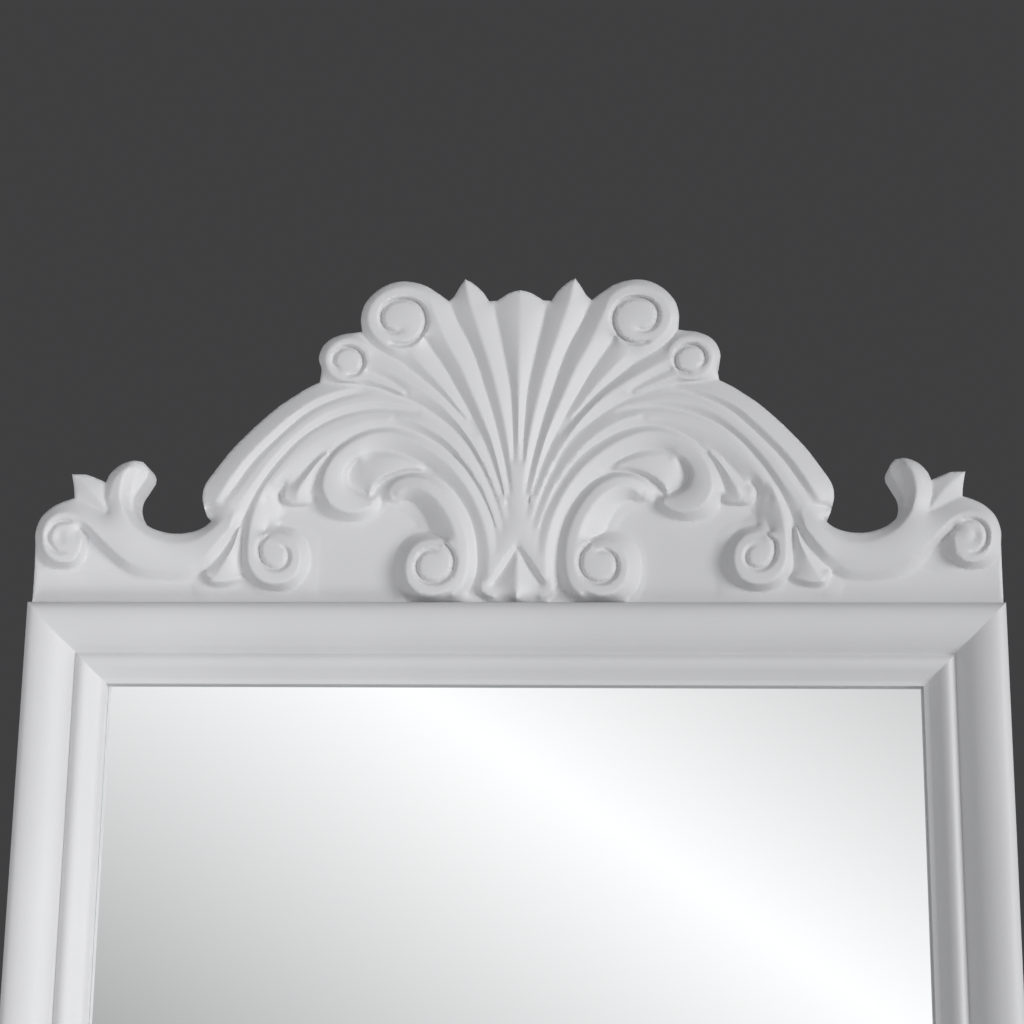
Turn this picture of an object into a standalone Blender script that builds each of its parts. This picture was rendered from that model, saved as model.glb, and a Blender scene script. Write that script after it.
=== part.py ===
"""Cheval floor mirror: a tall mirror with a carved crest, swung between two posts on scrolled feet.

Metres, +Z up, front towards -Y. The origin is on the floor, at the middle of the base.
Driving dimensions come first, then the crest's drawing, then one function for each family of sub-parts.
"""

import math

import bmesh
import bpy
import numpy as np
from mathutils import Matrix, Vector
from mathutils.geometry import delaunay_2d_cdt

MM = 0.001
GAP = 0.0003  # between pieces that touch

# Mirror frame
FRAME_WIDTH = 0.400
FRAME_BOTTOM = 0.220
FRAME_TOP = 1.460
BACK_Y = 0.010  # the frame's flat back
REBATE_START = 0.024  # from the outer edge to the rebate's wall
REBATE_DEPTH = 0.009  # from the flat back to the lip
GLASS_THICKNESS = 0.004
BACKING_THICKNESS = 0.003
PANEL_CLEARANCE = 0.001
STRAP_THICKNESS = 0.002  # corner brackets and crest plates

# Crest
CREST_BOARD = 0.013  # thickness of the flat ground behind the carving
CREST_FRONT_Y = BACK_Y - CREST_BOARD
CREST_STRETCH = 1.005  # from the drawing's width to the board's

# Stand
PIVOT_Z = 0.885
PIVOT_BLOCK = 0.090  # height of the square block at the pivot
POST_SIZE = 0.036
POST_X = 0.226
POST_BOTTOM = 0.1203
POST_TOP = 1.010
BLOCK_TOP = 0.232  # top of the square block at the foot
FOOT_THICKNESS = 0.030
FOOT_TOP = 0.120
GLIDE_HEIGHT = 0.0087
GLIDE_RADIUS = 0.011
GLIDE_Y = 0.216
STRETCHER_Z = 0.172
STRETCHER_HEIGHT = 0.048
STRETCHER_DEPTH = 0.024
STRETCHER_RISE = 0.014  # of the arch in its lower edge

# Pivot hardware, along X
STUD_RADIUS = 0.004
STUD_HOLE_RADIUS = 0.0045
INSERT_RADIUS = 0.006
INSERT_LENGTH = 0.016
WASHER_RADIUS = 0.014
WASHER_THICKNESS = 0.002
SPACER_RADIUS = 0.013
KNOB_RADIUS = 0.022
KNOB_LENGTH = 0.034

HALF_WIDTH = FRAME_WIDTH / 2
POST_INNER = POST_X - POST_SIZE / 2
POST_OUTER = POST_X + POST_SIZE / 2
PIVOT = Vector((0, 0, PIVOT_Z))
SIDES = (("left", -1), ("right", 1))

# The moulding's section: (inwards from the outer edge, forwards from the flat back), in mm
MOULDING = (
    (0, 0), (0, 20), (0.6, 22.6), (2.2, 24.8), (4, 25.7), (6, 26), (9, 25.6), (12, 24.6), (15, 22.9),
    (18, 20.3), (20, 17.4), (20.6, 16.6), (21.2, 17), (22, 18.2), (23.2, 19), (24.6, 19), (26.6, 18),
    (28.8, 16), (31, 13.9), (32, 13.5), (33, 13.2), (33, 9), (24, 9), (24, 0),
)  # fmt: skip

# The crest is drawn in mm: across from its middle line, up from its bottom edge, and height above the ground.
# Each run is a smooth curve through its points, and runs meet at corners.
CREST_OUTLINE = (
    ((0, 0, 0), (50, 0, 0), (100, 0, 0), (150, 0, 0), (199, 0, 0)),
    ((199, 0, 0), (199, 14, 0), (199, 26, 2)),
    ((199, 26, 2), (199.3, 31, 3), (197.5, 37, 3), (193, 41, 3), (188, 43, 3), (184.5, 44, 3)),
    ((184.5, 44, 3), (184.8, 48, 3), (185.7, 54.2, 3)),
    ((185.7, 54.2, 3), (179, 53.8, 3), (171.8, 51, 2)),
    ((171.8, 51, 2), (167, 57, 2), (160, 60, 2), (154.2, 57.6, 2), (152.4, 50, 2), (156.6, 37.5, 2)),
    ((156.6, 37.5, 2), (150, 31, 1), (141, 28.9, 1), (131, 30.9, 1), (126.7, 34.9, 1)),
    ((126.7, 34.9, 1), (130.9, 43, 2), (126, 55.5, 2), (110, 75.5, 2), (100, 84, 2), (83.5, 94.8, 2)),
    ((83.5, 94.8, 2), (84.8, 104, 4), (79.5, 114, 4), (66.8, 116, 4)),
    ((66.8, 116, 4), (67.2, 126, 4), (61, 135, 4), (50, 139, 4), (40, 136.3, 4), (30.5, 130.1, 3)),
    ((30.5, 130.1, 3), (26, 135.6, 4), (23.5, 139.6, 5)),
    ((23.5, 139.6, 5), (18, 136, 4), (11.5, 130, 3)),
    ((11.5, 130, 3), (6, 133.6, 5), (0, 134.6, 6)),
)
CREST_CURVES = (
    # Middle rib, and the fan's valleys and ribs from the middle outwards
    ((0, 134.6, 6), (0, 110, 7), (0, 85, 6.5), (0, 62, 6)),
    ((11.5, 130, 3), (7.4, 110, 3.5), (3.5, 90, 3.5), (2.3, 70, 4), (1.9, 60, 4.5)),
    ((23.5, 139.6, 5), (18.1, 120, 8.5), (11.6, 100, 8), (6.8, 80, 7.5), (3.6, 60, 6.5), (2.3, 46, 6)),
    ((30.5, 130.1, 3), (20.8, 110, 3.5), (13.9, 90, 3.5), (8.2, 70, 4), (2.8, 43, 5.5)),
    ((34, 120, 8.5), (24, 100, 8), (15.5, 80, 7.5), (8.8, 60, 7), (5, 42, 6)),
    ((41, 114, 4), (31.2, 100, 3.5), (20, 80, 3.5), (11.3, 61.5, 4.5), (4.3, 40.5, 5.8)),
    ((64, 104, 7), (52, 97.5, 8), (36, 87.5, 8), (24, 74.5, 7.5), (14.6, 59, 6.5), (5.8, 36, 6)),
    ((66.8, 116, 4), (50, 103, 4), (34, 90, 3.6), (21, 77, 3.5)),
    ((83.5, 94.8, 2), (65, 91.7, 3.5), (45, 85.5, 3.5), (23, 70, 4), (11, 48.5, 5.2), (6.5, 33, 5.8)),
    ((44, 77.5, 7.5), (29, 67.5, 7), (18.5, 54, 6.5), (10.8, 38, 6.2), (8.6, 31, 6)),
    ((97, 49, 2.5), (84, 61, 2.5), (72, 71, 3), (57, 75, 3.5), (35.5, 68.5, 3.5), (16.8, 49.5, 5),
     (8.5, 24, 5.8)),
    # Strands along the arched shoulders
    ((126, 40, 5), (117.5, 54, 7.5), (103, 74.5, 7.5), (84, 88.5, 7.5), (74, 90, 6)),
    ((121, 36, 2), (113, 56.5, 2.5), (100, 71.5, 2.5), (85, 84, 2.8), (65, 88.3, 3.5)),
    ((110, 46, 6), (101.5, 65.5, 7.2), (87, 78.5, 7), (68, 85, 6.5), (52, 84, 6)),
    ((106, 44, 2), (96.6, 65, 2.5), (82, 76.5, 2.8), (62, 82, 3.2), (40, 80, 4)),
    ((99, 50, 6), (93, 64, 7), (75, 76, 7), (52, 78, 6.5)),
    # Stem of the lower inner scroll, with the hook above it
    ((48, 45, 5), (38, 51, 6), (27, 44, 7), (21.5, 30, 7), (21, 18, 7), (26, 5, 6), (36, 2, 6)),
    ((52, 46, 0.5), (42, 55, 3), (28, 49, 4), (17.5, 34, 4.5), (14.6, 17, 4), (19, 5, 2)),
    ((46, 42, 0.5), (38, 40, 1), (30, 30, 1.5), (28.5, 27, 2)),
    # Leaves and stem that run down to the lower outer scroll
    ((121, 36, 2), (115, 24, 2.5), (112, 12, 1.5)),
    ((106, 44, 2), (104, 32, 4), (107, 18, 4), (110, 8, 1)),
    ((128, 31, 3), (120, 24, 6), (118, 12, 4), (125, 6, 1)),
    ((90, 45, 1), (92, 36, 1), (88, 30, 1)),
    ((80, 52, 6), (70, 60, 7), (56, 60, 6), (36, 55, 2)),
    ((72, 50, 1), (66, 47, 0.5), (60, 44, 0.5)),
    # Corner leaf, lobe and stem
    ((185.7, 54.2, 3), (178, 46, 5), (170.5, 38.5, 4)),
    ((163, 56, 6), (158, 50, 7), (163, 38, 7), (160, 28, 6), (146, 22, 6), (132, 22, 5)),
    ((176, 30, 0.5), (165, 18, 0.5), (150, 10.5, 0.5), (132, 11, 0.5)),
)
# Scrolls: (across, up, radius, rim height, angle where the spiral starts, direction)
CREST_SCROLLS = (
    (187.5, 28, 10.5, 8, 150, 1),
    (98.5, 20, 13, 8, 60, -1),
    (35, 16.5, 13.5, 8, 160, 1),
    (50.5, 123, 13, 8.5, 200, 1),
    (73, 104.5, 9.5, 8, 200, 1),
)
# Stretches of plain ground: corners of each, in mm
CREST_GROUND = (
    ((84, 5), (83, 26), (86, 34), (70, 31), (58, 32), (50, 34), (44, 34), (52, 24), (52, 5)),
    ((195, 3), (195, 12), (178, 12), (160, 8), (134, 6), (134, 3)),
    ((9, 12), (7.5, 22), (0, 27), (0, 25)),
)
CREST_STEP = 6.0  # between points, along the lines and between them
CREST_FULLNESS = 0.03  # how far the carving swells between its lines
SOLVER_ROUNDS = 400
SOLVER_LIMIT = 1e-8


# ---------------------------------------------------------------- materials and small helpers


def clear_scene():
    for obj in list(bpy.data.objects):
        bpy.data.objects.remove(obj, do_unlink=True)


def material(name, color, roughness, metallic=0.0):
    made = bpy.data.materials.new(name)
    made.use_nodes = True
    shader = made.node_tree.nodes["Principled BSDF"]
    shader.inputs["Base Color"].default_value = (*color, 1)
    shader.inputs["Roughness"].default_value = roughness
    shader.inputs["Metallic"].default_value = metallic
    return made


def object_from(name, points, faces, finish, smooth_angle=30):
    """A named object from points and faces, its normals turned outwards."""
    mesh = bpy.data.meshes.new(name)
    mesh.from_pydata([tuple(point) for point in points], [], [tuple(face) for face in faces])
    work = bmesh.new()
    work.from_mesh(mesh)
    bmesh.ops.recalc_face_normals(work, faces=work.faces)
    work.to_mesh(mesh)
    work.free()
    mesh.shade_smooth()
    mesh.set_sharp_from_angle(angle=math.radians(smooth_angle))
    mesh.materials.append(finish)
    obj = bpy.data.objects.new(name, mesh)
    bpy.context.scene.collection.objects.link(obj)
    return obj


def lofted(name, rings, finish, smooth_angle=30):
    """A closed solid through rings of equal point count, with a flat cap at each end."""
    count = len(rings[0])
    points = [point for ring in rings for point in ring]
    faces = [list(range(count)), list(range((len(rings) - 1) * count, len(rings) * count))]
    for row in range(len(rings) - 1):
        low, high = row * count, (row + 1) * count
        for k in range(count):
            after = (k + 1) % count
            faces.append([low + k, low + after, high + after, high + k])
    return object_from(name, points, faces, finish, smooth_angle)


def extruded(name, outline, axis, start, end, finish):
    """A flat outline pushed from start to end along X or Y."""
    rings = [[along(axis, place, across, up) for across, up in outline] for place in (start, end)]
    return lofted(name, rings, finish)


def along(axis, distance, across, up):
    """A point at a distance along X, Y or Z, with two offsets in the plane across that axis."""
    if axis == "X":
        return (distance, across, up)
    if axis == "Y":
        return (across, distance, up)
    return (across, up, distance)


def rectangle(low, high):
    return ((low[0], low[1]), (high[0], low[1]), (high[0], high[1]), (low[0], high[1]))


def turned(name, axis, centre, profile, finish, sides=16):
    """A solid of revolution: profile is (distance along the axis, radius), from one end to the other."""
    rings = []
    for distance, radius in profile:
        ring = []
        for k in range(sides):
            angle = 2 * math.pi * (k + 0.5) / sides
            offset = along(axis, distance, radius * math.cos(angle), radius * math.sin(angle))
            ring.append(Vector(offset) + Vector(centre))
        rings.append(ring)
    return lofted(name, rings, finish)


def washer(name, start, end, inner, outer, finish, sides=16):
    """A ring with square edges around the pivot's axis."""
    profile = ((start, inner), (end, inner), (end, outer), (start, outer))
    points = []
    faces = []
    for k in range(sides):
        angle = 2 * math.pi * k / sides
        for x, radius in profile:
            points.append(PIVOT + Vector((x, radius * math.cos(angle), radius * math.sin(angle))))
        this, after = 4 * k, 4 * ((k + 1) % sides)
        for j in range(4):
            following = (j + 1) % 4
            faces.append([this + j, this + following, after + following, after + j])
    return object_from(name, points, faces, finish)


def drill(target, axis, centre, radius, start, end, sides=10):
    """Cuts a round hole in target, from start to end along the axis."""
    name = f"cutter_{target.name}_{len(target.modifiers)}"
    finish = target.data.materials[0]
    cutter = turned(name, axis, centre, ((start, radius), (end, radius)), finish, sides)
    cutter.hide_render = True
    cutter.display_type = "WIRE"
    modifier = target.modifiers.new(name, "BOOLEAN")
    modifier.operation = "DIFFERENCE"
    modifier.solver = "EXACT"
    modifier.object = cutter


def visible_pieces():
    return {obj for obj in bpy.data.objects if obj.type == "MESH" and not obj.hide_render}


def hang_on_pivot(name, pieces):
    """Parents pieces to an empty on the pivot's axis, and leaves their shapes where they are."""
    empty = bpy.data.objects.new(name, None)
    empty.location = PIVOT
    bpy.context.scene.collection.objects.link(empty)
    for piece in pieces:
        piece.parent = empty
        piece.location = -PIVOT


# ---------------------------------------------------------------- the carved crest


def smooth_curve(knots, step):
    """A Catmull-Rom curve through the knots, with a point about every step."""
    knots = np.array(knots, float)
    padded = np.vstack([2 * knots[0] - knots[1], knots, 2 * knots[-1] - knots[-2]])
    found = []
    for before, start, end, after in zip(padded, padded[1:], padded[2:], padded[3:], strict=False):
        count = max(1, round(math.dist(start[:2], end[:2]) / step))
        t = (np.arange(count) / count)[:, None]
        straight = 2 * start + (end - before) * t
        bent = (2 * before - 5 * start + 4 * end - after) * t**2
        twisted = (3 * start - before - 3 * end + after) * t**3
        found.append((straight + bent + twisted) / 2)
    return np.vstack([*found, knots[-1]])


def polar_curve(across, up, reach, angle, height):
    flat = across + reach * np.cos(angle), up + reach * np.sin(angle)
    return np.column_stack([*flat, np.full(angle.size, height)])


def scroll_curves(across, up, radius, height, start, direction):
    """A scroll's rim, the groove that winds from the rim towards its eye, and the eye."""
    turn = np.radians(np.arange(0, 361, 30))
    wind = np.radians(np.arange(0, 331, 30))
    rim = polar_curve(across, up, radius, turn, height)
    reach = radius * np.interp(wind, (0, wind[-1]), (0.78, 0.42))
    groove = polar_curve(across, up, reach, math.radians(start) + direction * wind, height - 3)
    return [rim, groove, np.array([[across, up, height]])]


def mirrored(curve):
    return curve[::-1] * (-1, 1, 1)


def inside(points, outline):
    """Which points lie inside a closed outline, by counting crossings."""
    within = np.zeros(len(points), bool)
    for start, end in zip(outline, np.roll(outline, -1, axis=0), strict=True):
        crosses = (start[1] > points[:, 1]) != (end[1] > points[:, 1])
        slope = (end[0] - start[0]) / (end[1] - start[1] + 1e-12)
        within ^= crosses & (points[:, 0] < start[0] + slope * (points[:, 1] - start[1]))
    return within


def crest_lines():
    """The whole crest's outline, and every line drawn on it, both halves."""
    runs = [smooth_curve(run, CREST_STEP) for run in CREST_OUTLINE]
    half = np.vstack([run[:-1] for run in runs] + [runs[-1][-1:]])
    outline = np.vstack([half, mirrored(half)[1:-1]])
    lines = [smooth_curve(knots, CREST_STEP) for knots in CREST_CURVES]
    for scroll in CREST_SCROLLS:
        lines += scroll_curves(*scroll)
    lines += [mirrored(line) for line in lines if line[:, 0].max() > 0]
    return outline, lines


def crest_grid(outline, lines):
    """Free points, in staggered rows, that keep clear of every drawn line."""
    reach, top = outline[:, 0].max() - 1, outline[:, 1].max() - 1
    spots = []
    for row, up in enumerate(np.arange(CREST_STEP / 2, top, CREST_STEP)):
        shift = 0.5 * CREST_STEP * (row % 2)
        spots += [(across + shift, up) for across in np.arange(-reach, reach, CREST_STEP)]
    spots = np.array(spots)
    spots = spots[inside(spots, outline[:, :2])]
    drawn = np.vstack([outline, *lines])[:, :2]
    nearest = np.array([np.hypot(*(drawn - spot).T).min() for spot in spots])
    return spots[nearest > 0.6 * CREST_STEP]


def is_ground(points):
    found = np.zeros(len(points), bool)
    for corners in CREST_GROUND:
        found |= inside(np.abs(points), np.array(corners, float))
    return found


def membrane(points, triangles, height, fixed):
    """Heights of the free points: a soap film over the fixed ones, slightly swollen. Conjugate gradients."""
    ends, weights = [], []
    for k in range(3):
        apex, one, two = (points[triangles[:, (k + j) % 3]] for j in range(3))
        first, second = one - apex, two - apex
        cross = np.abs(first[:, 0] * second[:, 1] - first[:, 1] * second[:, 0])
        weights.append(np.clip((first * second).sum(1) / np.maximum(cross, 1e-9), 0.02, 20) / 2)
        ends.append(triangles[:, [(k + 1) % 3, (k + 2) % 3]])
    ends, weights = np.vstack(ends), np.concatenate(weights)
    area = np.bincount(triangles.ravel(), np.repeat(cross / 6, 3), len(points))

    def spread(values):
        flow = weights * (values[ends[:, 0]] - values[ends[:, 1]])
        total = np.bincount(ends[:, 0], flow, len(points)) - np.bincount(ends[:, 1], flow, len(points))
        return np.where(fixed, 0, total)

    found = np.where(fixed, height, 0.0)
    residual = np.where(fixed, 0, CREST_FULLNESS * area) - spread(found)
    step = residual.copy()
    size = residual @ residual
    for _ in range(SOLVER_ROUNDS):
        pushed = spread(step)
        rate = size / max(step @ pushed, 1e-12)
        found += rate * step
        residual -= rate * pushed
        after = residual @ residual
        if after < SOLVER_LIMIT:
            break
        step = residual + after / size * step
        size = after
    return found


def crest_surface():
    """Points (across, up, height) and triangles of the carved face, and the number of outline points."""
    outline, lines = crest_lines()
    spots = crest_grid(outline, lines)
    height_of = {}
    flat, edges = [], []
    for line in lines:
        first = len(outline) + len(flat)
        flat += [tuple(point) for point in line]
        edges += [(first + k, first + k + 1) for k in range(len(line) - 1)]
    known = np.vstack([outline, flat])
    for across, up, height in known:
        height_of[(round(across, 2), round(up, 2))] = height
    places = [Vector(point[:2]) for point in known] + [Vector(spot) for spot in spots]
    border = list(range(len(outline)))
    made = delaunay_2d_cdt(places, edges, [border], 1, 1e-3)
    points = np.array([tuple(place) for place in made[0]])
    triangles = np.array(made[2])
    keys = [(round(across, 2), round(up, 2)) for across, up in points]
    height = np.array([height_of.get(key, 0.0) for key in keys])
    fixed = np.array([key in height_of for key in keys])
    fixed |= is_ground(points)
    used = np.unique(triangles)
    again = np.full(len(points), -1)
    again[used] = np.arange(len(used))
    points, height, fixed, triangles = points[used], height[used], fixed[used], again[triangles]
    height = membrane(points, triangles, height, fixed)
    return np.column_stack([points, height]), triangles


def border_edges(triangles):
    """Directed edges that belong to one triangle only."""
    directed = np.vstack([triangles[:, [0, 1]], triangles[:, [1, 2]], triangles[:, [2, 0]]])
    present = {tuple(edge) for edge in directed}
    return [edge for edge in present if edge[::-1] not in present]


def crest(white):
    """The carved board: the membrane in front, a flat back, and a wall around the outline."""
    face, triangles = crest_surface()
    border = border_edges(triangles)
    ring = [border[0]]
    after = dict(border)
    while after[ring[-1][1]] != ring[0][1]:
        ring.append((ring[-1][1], after[ring[-1][1]]))
    rim = [edge[0] for edge in ring]
    width, base = CREST_STRETCH * MM, FRAME_TOP + GAP
    front = [(x * width, CREST_FRONT_Y - h * MM, base + z * MM) for x, z, h in face]
    back = [(front[k][0], BACK_Y, front[k][2]) for k in rim]
    first = len(front)
    faces = [tuple(int(k) for k in triangle) for triangle in triangles]
    faces.append(tuple(range(first, first + len(rim))))
    for k in range(len(rim)):
        following = (k + 1) % len(rim)
        faces.append((int(rim[k]), int(rim[following]), first + following, first + k))
    return object_from("crest", front + back, faces, white, 40)


# ---------------------------------------------------------------- the mirror's frame and panels


def moulding_bar(name, length, turn, centre, white):
    """One mitred side of the frame. It is made as the top side and then turned about Y."""
    rings = []
    for end in (-1, 1):
        ring = []
        for inwards, forwards in MOULDING:
            reach = length / 2 - inwards * MM - GAP / 2
            ring.append((end * reach, BACK_Y - forwards * MM, -inwards * MM))
        rings.append(ring)
    bar = lofted(name, rings, white, 35)
    bar.data.transform(Matrix.Translation(centre) @ Matrix.Rotation(turn, 4, "Y"))
    return bar


def frame_bars(white):
    height = FRAME_TOP - FRAME_BOTTOM
    middle = (FRAME_TOP + FRAME_BOTTOM) / 2
    places = (
        ("top_rail", FRAME_WIDTH, 0, (0, 0, FRAME_TOP)),
        ("right_stile", height, math.pi / 2, (HALF_WIDTH, 0, middle)),
        ("bottom_rail", FRAME_WIDTH, math.pi, (0, 0, FRAME_BOTTOM)),
        ("left_stile", height, -math.pi / 2, (-HALF_WIDTH, 0, middle)),
    )
    bars = {}
    for name, length, turn, centre in places:
        bars[name] = moulding_bar(name, length, turn, centre, white)
    return bars


def panel(name, front, thickness, finish):
    """A sheet that lies in the frame's rebate."""
    margin = REBATE_START + PANEL_CLEARANCE
    low = (-HALF_WIDTH + margin, FRAME_BOTTOM + margin)
    high = (HALF_WIDTH - margin, FRAME_TOP - margin)
    return extruded(name, rectangle(low, high), "Y", front, front + thickness, finish)


def backing_tabs(front, steel):
    """Thin steel points, driven into the rebate's wall, that hold the backing board."""
    thickness, width, length, spacing = 0.0008, 0.012, 0.011, 0.661
    inset = REBATE_START + PANEL_CLEARANCE + length / 2
    middle = (FRAME_TOP + FRAME_BOTTOM) / 2
    spots = [("backing_tab_top", 0, FRAME_TOP - inset), ("backing_tab_bottom", 0, FRAME_BOTTOM + inset)]
    for side, sign in SIDES:
        x = sign * (HALF_WIDTH - inset)
        spots.append((f"backing_tab_{side}_lower", x, middle - spacing / 2))
        spots.append((f"backing_tab_{side}_upper", x, middle + spacing / 2))
    for name, x, z in spots:
        along_x = length if x else width
        along_z = width if x else length
        outline = rectangle((x - along_x / 2, z - along_z / 2), (x + along_x / 2, z + along_z / 2))
        extruded(name, outline, "Y", front, front + thickness, steel)


def wood_screw(name, x, z, plate_back, steel, targets):
    """A pan-head screw driven forwards through a plate into wood, with its holes in both."""
    head_radius, shank_radius, shank_length = 0.0034, 0.0016, 0.013
    head, tip = plate_back + GAP, plate_back - shank_length
    profile = (
        (tip, 0.0006),
        (tip + 0.003, shank_radius),
        (head, shank_radius),
        (head, head_radius),
        (head + 0.0012, head_radius * 0.9),
        (head + 0.0019, head_radius * 0.5),
    )
    turned(name, "Y", (x, 0, z), profile, steel, 10)
    for target in targets:
        drill(target, "Y", (x, 0, z), shank_radius + GAP, tip - GAP, plate_back + 0.01)


def from_corner(right, top, across, up):
    """A point measured inwards from one of the frame's corners: right and top are 1 or -1."""
    corner_z = FRAME_TOP if top > 0 else FRAME_BOTTOM
    return right * (HALF_WIDTH - across), corner_z - top * up


def corner_brackets(bars, steel):
    """Flat L brackets across the back of each mitre."""
    leg, width, inset = 0.060, 0.014, 0.005
    shape = ((0, 0), (leg, 0), (leg, width), (width, width), (width, leg), (0, leg))
    hole = leg - 0.010  # from the bracket's corner, in the middle of a leg
    front, back = BACK_Y + GAP, BACK_Y + GAP + STRAP_THICKNESS
    for side, right in SIDES:
        for level, top in (("bottom", -1), ("top", 1)):
            outline = [from_corner(right, top, inset + across, inset + up) for across, up in shape]
            bracket = extruded(f"corner_bracket_{level}_{side}", outline, "Y", front, back, steel)
            for where, across, up in (("rail", hole, width / 2), ("stile", width / 2, hole)):
                spot = from_corner(right, top, inset + across, inset + up)
                wood = bars[f"{level}_rail" if where == "rail" else f"{side}_stile"]
                wood_screw(f"bracket_screw_{level}_{side}_{where}", *spot, back, steel, (bracket, wood))


def crest_plates(bars, carving, steel):
    """Straps that hold the crest on the top rail."""
    half_width, x_place = 0.008, 0.085
    low, high = FRAME_TOP - 0.020, FRAME_TOP + 0.042
    front, back = BACK_Y + GAP, BACK_Y + GAP + STRAP_THICKNESS
    for side, sign in SIDES:
        x = sign * x_place
        outline = rectangle((x - half_width, low), (x + half_width, high))
        plate = extruded(f"crest_plate_{side}", outline, "Y", front, back, steel)
        for where, z, wood in (("lower", low + 0.008, bars["top_rail"]), ("upper", high - 0.009, carving)):
            wood_screw(f"crest_screw_{side}_{where}", x, z, back, steel, (plate, wood))


# ---------------------------------------------------------------- the stand


def squared_ring(x, z, half, squareness, count=16):
    """A ring around a post: squareness 0 is round, and 1 is square."""
    ring = []
    for k in range(count):
        angle = 2 * math.pi * k / count
        square = 1 / max(abs(math.cos(angle)), abs(math.sin(angle)))
        radius = half * (1 - squareness + squareness * square)
        ring.append((x + radius * math.cos(angle), radius * math.sin(angle), z))
    return ring


def post_sections():
    """(height, half width, squareness) up a post: square blocks at the foot and the pivot, turned between."""
    half = POST_SIZE / 2
    pivot_low, pivot_high = PIVOT_Z - PIVOT_BLOCK / 2, PIVOT_Z + PIVOT_BLOCK / 2
    return (
        (POST_BOTTOM, half, 1), (BLOCK_TOP, half, 1), (BLOCK_TOP + 0.004, half - 0.003, 0),
        (BLOCK_TOP + 0.010, 0.0110, 0), (BLOCK_TOP + 0.016, 0.0165, 0), (BLOCK_TOP + 0.024, 0.0165, 0),
        (BLOCK_TOP + 0.030, 0.0105, 0), (BLOCK_TOP + 0.060, 0.0150, 0), (BLOCK_TOP + 0.110, 0.0172, 0),
        (BLOCK_TOP + 0.180, 0.0150, 0), (0.560, 0.0125, 0), (0.740, 0.0108, 0), (0.790, 0.0100, 0),
        (0.797, 0.0150, 0), (0.806, 0.0150, 0), (0.812, 0.0100, 0), (0.826, 0.0125, 0),
        (pivot_low - 0.003, half - 0.003, 0), (pivot_low, half, 1), (pivot_high, half, 1),
        (pivot_high + 0.004, half - 0.003, 0), (pivot_high + 0.010, 0.0110, 0), (0.952, 0.0105, 0),
        (0.975, 0.0140, 0), (0.990, 0.0120, 0), (0.996, 0.0160, 0), (1.004, 0.0160, 0), (POST_TOP, 0.0125, 0),
    )  # fmt: skip


def posts(white):
    made = {}
    for side, sign in SIDES:
        rings = [squared_ring(sign * POST_X, z, half, squareness) for z, half, squareness in post_sections()]
        post = lofted(f"{side}_post", rings, white, 35)
        drill(post, "X", PIVOT, STUD_HOLE_RADIUS, sign * (POST_INNER - 0.01), sign * (POST_OUTER + 0.01), 16)
        made[side] = post
    return made


def finials(posts_made, white):
    """Turned acorns with a spigot in the top of each post."""
    spigot_radius, spigot_length = 0.005, 0.018
    start = POST_TOP + GAP
    profile = (
        (start - spigot_length, spigot_radius), (start, spigot_radius),
        (start, 0.0120), (start + 0.004, 0.0120),
        (start + 0.008, 0.0075), (start + 0.014, 0.0130), (start + 0.024, 0.0165), (start + 0.036, 0.0150),
        (start + 0.048, 0.0090), (start + 0.055, 0.0040), (start + 0.060, 0.0045), (start + 0.064, 0.0020),
    )  # fmt: skip
    for side, sign in SIDES:
        centre = (sign * POST_X, 0, 0)
        turned(f"{side}_finial", "Z", centre, profile, white, 16)
        low = start - spigot_length - 0.001
        drill(posts_made[side], "Z", centre, spigot_radius + GAP, low, POST_TOP + 0.01, 12)


FOOT_LOWER = ((0, 58), (60, 56), (110, 44), (150, 28), (178, 16), (200, 9))
FOOT_TOE = ((230, 9), (238, 14), (241, 23), (238, 33), (229, 39), (218, 38))
FOOT_UPPER = ((218, 38), (200, 42), (170, 52), (130, 74), (96, 96), (70, 108), (44, 112))
FOOT_BLOCK = ((44, 112), (38, 114), (34, 120), (0, 120))


def foot_outline(step):
    """The scrolled foot from the side, in metres: one half from the drawn curves, and its reflection."""
    runs = [smooth_curve(run, step) for run in (FOOT_LOWER, FOOT_TOE, FOOT_UPPER)]
    half = np.vstack([runs[0], runs[1][:-1], runs[2][:-1], np.array(FOOT_BLOCK, float)]) * MM
    other = half[::-1] * (-1, 1)
    return np.vstack([half, other[1:-1]])


def feet(posts_made, white, steel):
    """Scrolled feet, each with the bolt that draws it up against its post."""
    outline = foot_outline(18)
    half = FOOT_THICKNESS / 2
    bolt_radius, head_radius, recess = 0.0035, 0.0065, 0.067
    bolt_top = 0.150
    for side, sign in SIDES:
        x = sign * POST_X
        foot = extruded(f"{side}_foot", outline, "X", x - half, x + half, white)
        drill(foot, "Z", (x, 0, 0), bolt_radius + GAP, 0.050, FOOT_TOP + 0.01, 12)
        drill(foot, "Z", (x, 0, 0), head_radius + 0.001, 0.050, recess, 12)
        drill(posts_made[side], "Z", (x, 0, 0), bolt_radius + GAP, POST_BOTTOM - 0.01, bolt_top + 0.001, 12)
        head = recess - GAP
        profile = (
            (head - 0.006, head_radius), (head, head_radius), (head, bolt_radius), (bolt_top, bolt_radius),
        )  # fmt: skip
        turned(f"foot_bolt_{side}", "Z", (x, 0, 0), profile, steel, 12)


def glides(rubber):
    profile = ((0, GLIDE_RADIUS - 0.001), (0.001, GLIDE_RADIUS), (GLIDE_HEIGHT, GLIDE_RADIUS))
    for side, sign in SIDES:
        for end, direction in (("front", -1), ("rear", 1)):
            centre = (sign * POST_X, direction * GLIDE_Y, 0)
            turned(f"glide_{end}_{side}", "Z", centre, profile, rubber, 20)


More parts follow.
